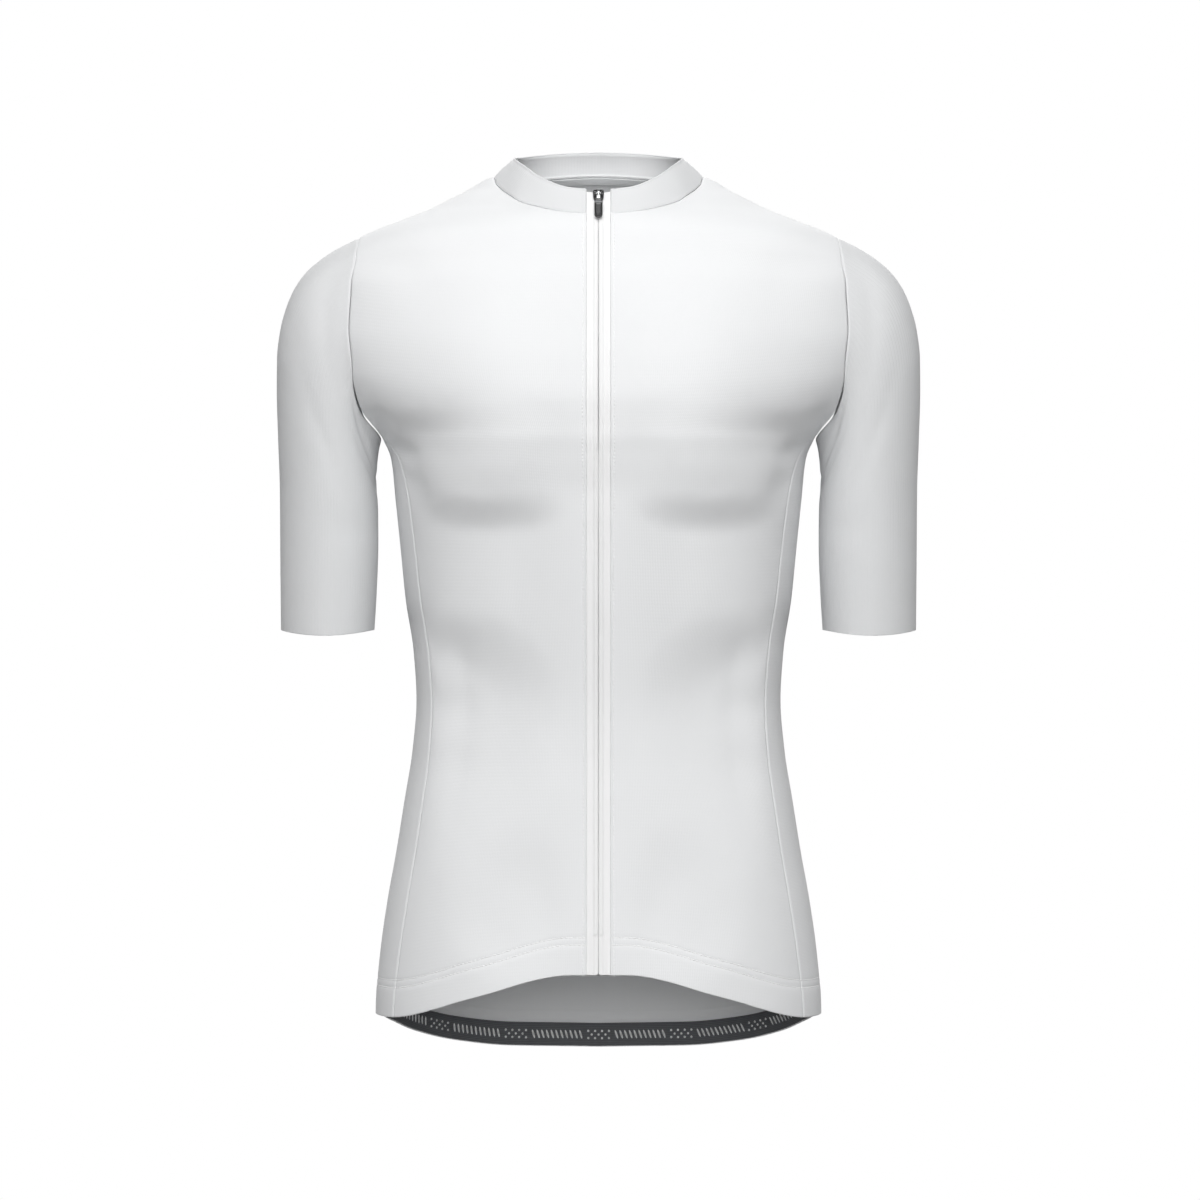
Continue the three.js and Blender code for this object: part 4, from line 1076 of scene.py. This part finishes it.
def zipFrame():
    # The slider's own place: x across, y up along the zip, z out of the collar
    top, foot = collarPoint(0.0, 0.93), collarPoint(0.0, 0.63)
    up = unit(top - foot) * np.array([0, 1, 1])
    return top, np.array([[1, 0, 0], unit(up), np.cross([1, 0, 0], unit(up))])


def placed(shape, origin, axes):
    return shape[0] @ axes + origin, shape[1]


def makeSlider():
    origin, axes = zipFrame()
    low = slider["topY"] - slider["length"]
    shapes = []
    outline = roundedOutline(slider["half"], low, slider["topY"], 5.0, 1 - slider["tipHalf"] / slider["half"])
    shapes.append(slab(outline, *slider["outer"], 0.4))
    shapes.append(slab(outline, *slider["inner"], 0.35))
    neck = roundedOutline(2.7, 0.55, 1.5, 3.0)
    shapes.append(slab(neck, slider["inner"][1] - 0.4, slider["outer"][0] + 0.4, 0.1))
    # lugs that hold the pin: rounded slabs standing on the outer plate
    stand = roundedOutline(1.45, -0.2, slider["lugHeight"], 3.0)
    for sign in (-1, 1):
        points, faces = slab(stand, -0.5, 0.5, 0.22)
        points = np.stack([points[:, 2] + sign * 2.25, points[:, 0] + slider["pinAt"], points[:, 1]], -1)
        shapes.append(facedOut(points, faces))
    made = joinedShapes("zip_slider_body", [placed(s, origin, axes) for s in shapes], enamel)
    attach(made, "jersey")
    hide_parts("zip_slider")
    pinPlace = np.array([0, slider["pinAt"], slider["pinHeight"]])
    rod, faces = rodShape(2.85, slider["pinRadius"])
    pin = joinedShapes("zip_slider_pin", [placed((rod + pinPlace, faces), origin, axes)], steel)
    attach(pin, "jersey")

    # the pull hangs from the pin: a round-ended tab with ribs in its sunk face
    reach = pullTab["length"]
    t = pullTab["thickness"] / 2
    tab = tabOutline(pullTab["half"], -reach, -4.7, 1.2)
    parts = [slab(tab, -t, t, 0.4, pullTab["recess"], 0.62)]
    parts += [slab(roundedOutline(1.6, y - 0.26, y + 0.26, 3.0, 0.0, 24), t - pullTab["recess"] - 0.06,
                   t - pullTab["recess"] + 0.14, 0.07) for y in np.arange(-17.6, -9.0, 1.05)]
    # bright link round the pin: eye, drop-shaped neck and the band that grips the tab
    link = [ringShape(1.12, 0.42, 2.6)]
    link.append(slab(roundedOutline(pullTab["neckHalf"], -4.4, -1.0, 3.0, -0.1), -t * 0.75, t * 1.05, 0.4))
    band = [slab(roundedOutline(2.5, -8.2, -6.3, 5.0), -t * 1.1, t * 1.16, 0.2)]
    tilt = math.radians(pullTab["tilt"])
    turn = np.array([[1, 0, 0], [0, math.cos(tilt), math.sin(tilt)], [0, -math.sin(tilt), math.cos(tilt)]])
    for name, shapes, finish in (("zip_pull_tab", parts, enamel), ("zip_pull_link", link, steel),
                                 ("zip_pull_band", band, nickel)):
        made = joinedShapes(name, [placed(placed(q, pinPlace, turn), origin, axes) for q in shapes], finish)
        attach(made, "pull")
        if finish is enamel:
            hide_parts("zip_pull")
    print("slider and pull made")


def enamelMaterial():
    # Black enamelled zinc: smooth glossy coat, with faint orange-peel
    material, tree, shader = newMaterial("black enamelled zinc", **{
        "Base Color": linearColour("#1b1b1d"), "Roughness": 0.26, "Metallic": 0.0, "Coat Weight": 0.6,
        "Coat Roughness": 0.12})
    coords = addNode(tree, "ShaderNodeTexCoord")
    peel = addNode(tree, "ShaderNodeTexNoise", {"Vector": (coords, "Object"), "Scale": 1800.0, "Detail": 1.0})
    bump = addNode(tree, "ShaderNodeBump", {"Height": (peel, "Fac"), "Strength": 0.25, "Distance": 0.00003})
    tree.links.new(bump.outputs["Normal"], shader.inputs["Normal"])
    return material


def steelMaterial():
    # Bright drawn steel wire: mirror-like with fine lines along it
    material, tree, shader = newMaterial("bright drawn steel", **{
        "Base Color": linearColour("#d9dadb"), "Metallic": 1.0, "Roughness": 0.22})
    coords = addNode(tree, "ShaderNodeTexCoord")
    lines = addNode(tree, "ShaderNodeTexNoise", {"Vector": (coords, "Object"), "Scale": 2500.0})
    bump = addNode(tree, "ShaderNodeBump", {"Height": (lines, "Fac"), "Strength": 0.2, "Distance": 0.00002})
    tree.links.new(bump.outputs["Normal"], shader.inputs["Normal"])
    return material


enamel = enamelMaterial()
steel = steelMaterial()
# Dull nickel plate: grey, softly brushed look of the band that grips the tab
nickel, _, _ = newMaterial("dull nickel plate", **{
    "Base Color": linearColour("#77787a"), "Metallic": 0.7, "Roughness": 0.5})

# Elastic gripper inside the back hem

gripper = {"low": 0.7, "high": 17.5, "depth": 1.3, "wall": 0.9, "groupMm": 60.5, "dotPitch": 5.0,
           "dotRow": 2.6, "dotRadius": 0.85, "dotHeight": 0.32, "barHalf": 3.3, "barWide": 0.75,
           "barPitch": 3.45, "bars": 11, "slant": 18, "rowAt": 9.0}


def elasticMaterial():
    # Woven elastic with rubber cores: dark matt bands along its length, fine ribs across
    material, tree, shader = newMaterial("black woven elastic", **{
        "Roughness": 0.78, "Sheen Weight": 0.25, "Sheen Roughness": 0.5, "Specular IOR Level": 0.3})
    coords = addNode(tree, "ShaderNodeTexCoord")
    ribs = addNode(tree, "ShaderNodeTexWave", {"Vector": (coords, "UV"), "Scale": waveScale(1.3)},
                   bands_direction="Y")
    threads = addNode(tree, "ShaderNodeTexWave", {"Vector": (coords, "UV"), "Scale": waveScale(0.8)},
                      bands_direction="X")
    both = addNode(tree, "ShaderNodeMath", {0: (threads, "Fac"), 1: 0.5, 2: (ribs, "Fac")},
                   operation="MULTIPLY_ADD")
    bump = addNode(tree, "ShaderNodeBump", {"Height": (both, "Value"), "Strength": 0.6, "Distance": 0.0001})
    tree.links.new(bump.outputs["Normal"], shader.inputs["Normal"])
    colour = addNode(tree, "ShaderNodeMix", {"Factor": (ribs, "Fac")}, data_type="RGBA")
    colour.inputs[6].default_value = linearColour("#55575a")
    colour.inputs[7].default_value = linearColour("#66686b")
    tree.links.new(colour.outputs[2], shader.inputs["Base Color"])
    return material


def siliconeMaterial():
    # Printed clear silicone: milky, slightly wet shine
    material, tree, shader = newMaterial("printed clear silicone", **{
        "Base Color": linearColour("#f8f8f8"), "Roughness": 0.35, "IOR": 1.41, "Subsurface Weight": 0.15,
        "Subsurface Radius": (0.0006, 0.0006, 0.0006)})
    coords = addNode(tree, "ShaderNodeTexCoord")
    wave = addNode(tree, "ShaderNodeTexNoise", {"Vector": (coords, "Object"), "Scale": 900.0})
    bump = addNode(tree, "ShaderNodeBump", {"Height": (wave, "Fac"), "Strength": 0.2, "Distance": 0.00005})
    tree.links.new(bump.outputs["Normal"], shader.inputs["Normal"])
    return material


elastic = elasticMaterial()
silicone = siliconeMaterial()


def domeShape(halfX, halfY, height, sides=10):
    # Low dome: rings of a superellipse that shrink as a circle's profile
    level = np.array([0, 0.35, 0.7, 0.92])
    size = np.sqrt(1 - level ** 2)
    angle = np.linspace(0, 2 * np.pi, sides, endpoint=False)
    rings = [np.column_stack([halfX * s * np.cos(angle), halfY * s * np.sin(angle),
                              np.full(sides, height * v)]) for s, v in zip(size, level)]
    points = np.concatenate(rings + [[[0, 0, height]], [[0, 0, -0.1]]])
    quads = gridQuads(4, sides, True)
    k = np.arange(sides)
    top, low = len(points) - 2, len(points) - 1
    faces = np.concatenate([quads[:, [0, 1, 2]], quads[:, [0, 2, 3]],
                            np.stack([np.full(sides, top), 3 * sides + k, 3 * sides + (k + 1) % sides], -1),
                            np.stack([np.full(sides, low), (k + 1) % sides, k], -1)])
    return facedOut(points, faces)


def makeGripper():
    edge = float(frontSeam(body["hemSeamZ"]))
    turn = np.linspace(edge + 0.3, 359.7 - edge, 260)[None, :]
    height = np.array([0.7, 0.8, 1.0, 1.5, 2.5, 5, 8, 11, 14, 16, 16.9, 17.3, 17.5])[::-1, None]
    turn, height = np.broadcast_arrays(turn, height)
    folded = np.minimum(turn, 360 - turn)

    def insideAt(t, h, depth):
        # Point inside the hem: height above the hem, depth in from the cloth's outer face
        near = np.minimum(t, 360 - t)
        sign = np.where(t > 180, -1, 1)
        at = hemAt(near) + h
        normal = bodyNormal(near, at)
        point = bodyPoint(near, at) - normal * np.asarray(depth)[..., None]
        point[..., 0] *= sign
        normal = normal.copy()
        normal[..., 0] *= sign
        return point, normal

    down = height[:1] - height
    edgeDistance = np.minimum(down, height - gripper["low"])
    rim = rimRound(edgeDistance, np.full(turn.shape, gripper["wall"]))
    outer, _ = insideAt(turn, height, gripper["depth"] + rim)
    inner, _ = insideAt(turn, height, gripper["depth"] + gripper["wall"] - rim)
    along = arcAlong(outer, 1)
    made = makeShell("band_gripper", outer, inner, elastic, np.stack([along, -down], -1) / 1000)
    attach(made, "jersey")
    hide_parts("hem_gripper")

    # silicone dots in groups of 4, 3 and 4, and short slanted bars between the groups
    line = np.linspace(edge + 0.3, 359.7 - edge, 1200)
    path, _ = insideAt(line, np.full(line.shape, gripper["rowAt"]), 2.0)
    gone = arcAlong(path, 0)
    gone = gone - np.interp(180, line, gone)
    dots, bars = [], []
    for group in range(-4, 5):
        middle = group * gripper["groupMm"]
        for row in (-1, 0, 1):
            count = 3 if row == 0 else 4
            for k in range(count):
                across = (k - (count - 1) / 2) * gripper["dotPitch"]
                dots.append((middle + across, gripper["rowAt"] + row * gripper["dotRow"]))
        for k in range(gripper["bars"]):
            across = (k - (gripper["bars"] - 1) / 2) * gripper["barPitch"]
            bars.append((middle + gripper["groupMm"] / 2 + across, gripper["rowAt"]))
    depth = gripper["depth"] + gripper["wall"]
    shapes = []
    dot = domeShape(gripper["dotRadius"], gripper["dotRadius"], gripper["dotHeight"])
    bar = domeShape(gripper["barWide"], gripper["barHalf"], gripper["dotHeight"], 14)
    for places, shape, slant in ((dots, dot, 0), (bars, bar, gripper["slant"])):
        places = np.array(places)
        keep = (places[:, 0] > gone[0] + 4) & (places[:, 0] < gone[-1] - 4)
        places = places[keep]
        at = np.interp(places[:, 0], gone, line)
        origin, normal = insideAt(at, places[:, 1], np.full(len(at), depth))
        ahead, _ = insideAt(at + 0.05, places[:, 1], np.full(len(at), depth))
        x = unit(ahead - origin)
        inward = -normal
        y = unit(np.cross(inward, x))
        turned = math.radians(slant)
        x, y = x * math.cos(turned) + y * math.sin(turned), y * math.cos(turned) - x * math.sin(turned)
        shapes.append(repeated(*shape, origin, np.stack([x, y, inward], 1)))
    made = joinedShapes("gripper_dots", shapes, silicone)
    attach(made, "jersey")
    print("gripper made")


# Pockets on the back

pocket = {"margin": 24, "height": 165, "half": 52, "drop": 16, "gape": 2, "wall": 0.9}


def makePockets():
    share = spread(165, 3.6, [0, 0.3, 0.8, 1.4, 2.0, 2.7, 3.6], [0, 0.15, 0.4, 0.9, 1.6, 2.6, 4])[:, None]
    share = share[::-1]  # rows run from the mouth down
    across = spread(104, 3.6, [0, 0.3, 0.8, 1.4, 2.0, 2.7, 3.6], [0, 0.3, 0.8, 1.4, 2.0, 2.7, 3.6])[None, :]
    base = hemAt(150) + pocket["margin"]

    def divider(z, x):
        return 180 - bodyTurnAt(x, z)

    for name, kind in (("centre", 0), ("left", 1), ("right", -1)):
        drop = pocket["drop"] * across if kind else 0 * across
        z = base + share * (pocket["height"] - drop)
        if kind:
            start, end = divider(z, pocket["half"] + 0.3), backSeam(z) + 1
        else:
            start, end = divider(z, pocket["half"]), 360 - divider(z, pocket["half"])
        turn = start + (end - start) * across
        points = bodyPoint(turn, z)
        normal = clothNormals(points)
        normal = normal * np.sign(np.sum(normal * bodyNormal(turn, z), -1, keepdims=True))
        along, down = arcAlong(points, 1), arcAlong(points, 0)
        sides = np.minimum(along, along[:, -1:] - along)
        fromBase = down[-1:] - down
        sewn = np.minimum(sides, fromBase)
        low = 0.06 + pocket["gape"] * share ** 3 * np.sin(np.pi * across)
        high = low + 0.35 + (pocket["wall"] - 0.35) * smooth(0, 1.2, sewn)
        high = high - 0.16 * hill(sewn - 2.4, 0.6) + 0.25 * (1 - smooth(16.5, 18, down))
        high = high - 0.16 * hill(down - 15.5, 0.6)
        thick = high - low
        rim = rimRound(np.minimum(down, sewn + 0.2), thick)
        outer = points + normal * (high - rim * 0.9)[..., None]
        inner = points + normal * (low + rim * 0.4)[..., None]
        if kind < 0:
            outer, inner = mirroredX(outer), mirroredX(inner)
        uv = np.stack([along, -down], -1) / 1000
        made = makeShell(f"patch_pocket_{name}", outer, inner, bodyKnit, uv)
        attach(made, "jersey")
        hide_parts(f"pocket_{name}")
        if kind >= 0:
            runs = []
            for gap, target in ((down, 15.5), (fromBase, 2.4)):
                row = int(np.argmin(np.abs(gap[:, 0] - target)))
                runs.append(stitchRun(outer[row], normal[row], 3.0, 2.2, 0.22))
            for column in (5, -6):
                runs.append(stitchRun(outer[:, column], normal[:, column], 3.0, 2.2, 0.22))
            if kind:
                bothSides(runs)
            stitchShapes["pocket_stitching"] += runs
    print("pockets made")


# Make everything

makeStage()
makeFronts()
makeBack()
makeSides()
makeSleeves()
makeCollar()
makeNeckTape()
makeZipTapes()
makeSlider()
makeGripper()
makePockets()

bothSides(stitchShapes["hem_stitching"])
bothSides(stitchShapes["zip_stitching"])
for name, shapes in stitchShapes.items():
    if shapes:
        made = joinedShapes(name, shapes, thread)
        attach(made, "jersey")
print("stitching made")
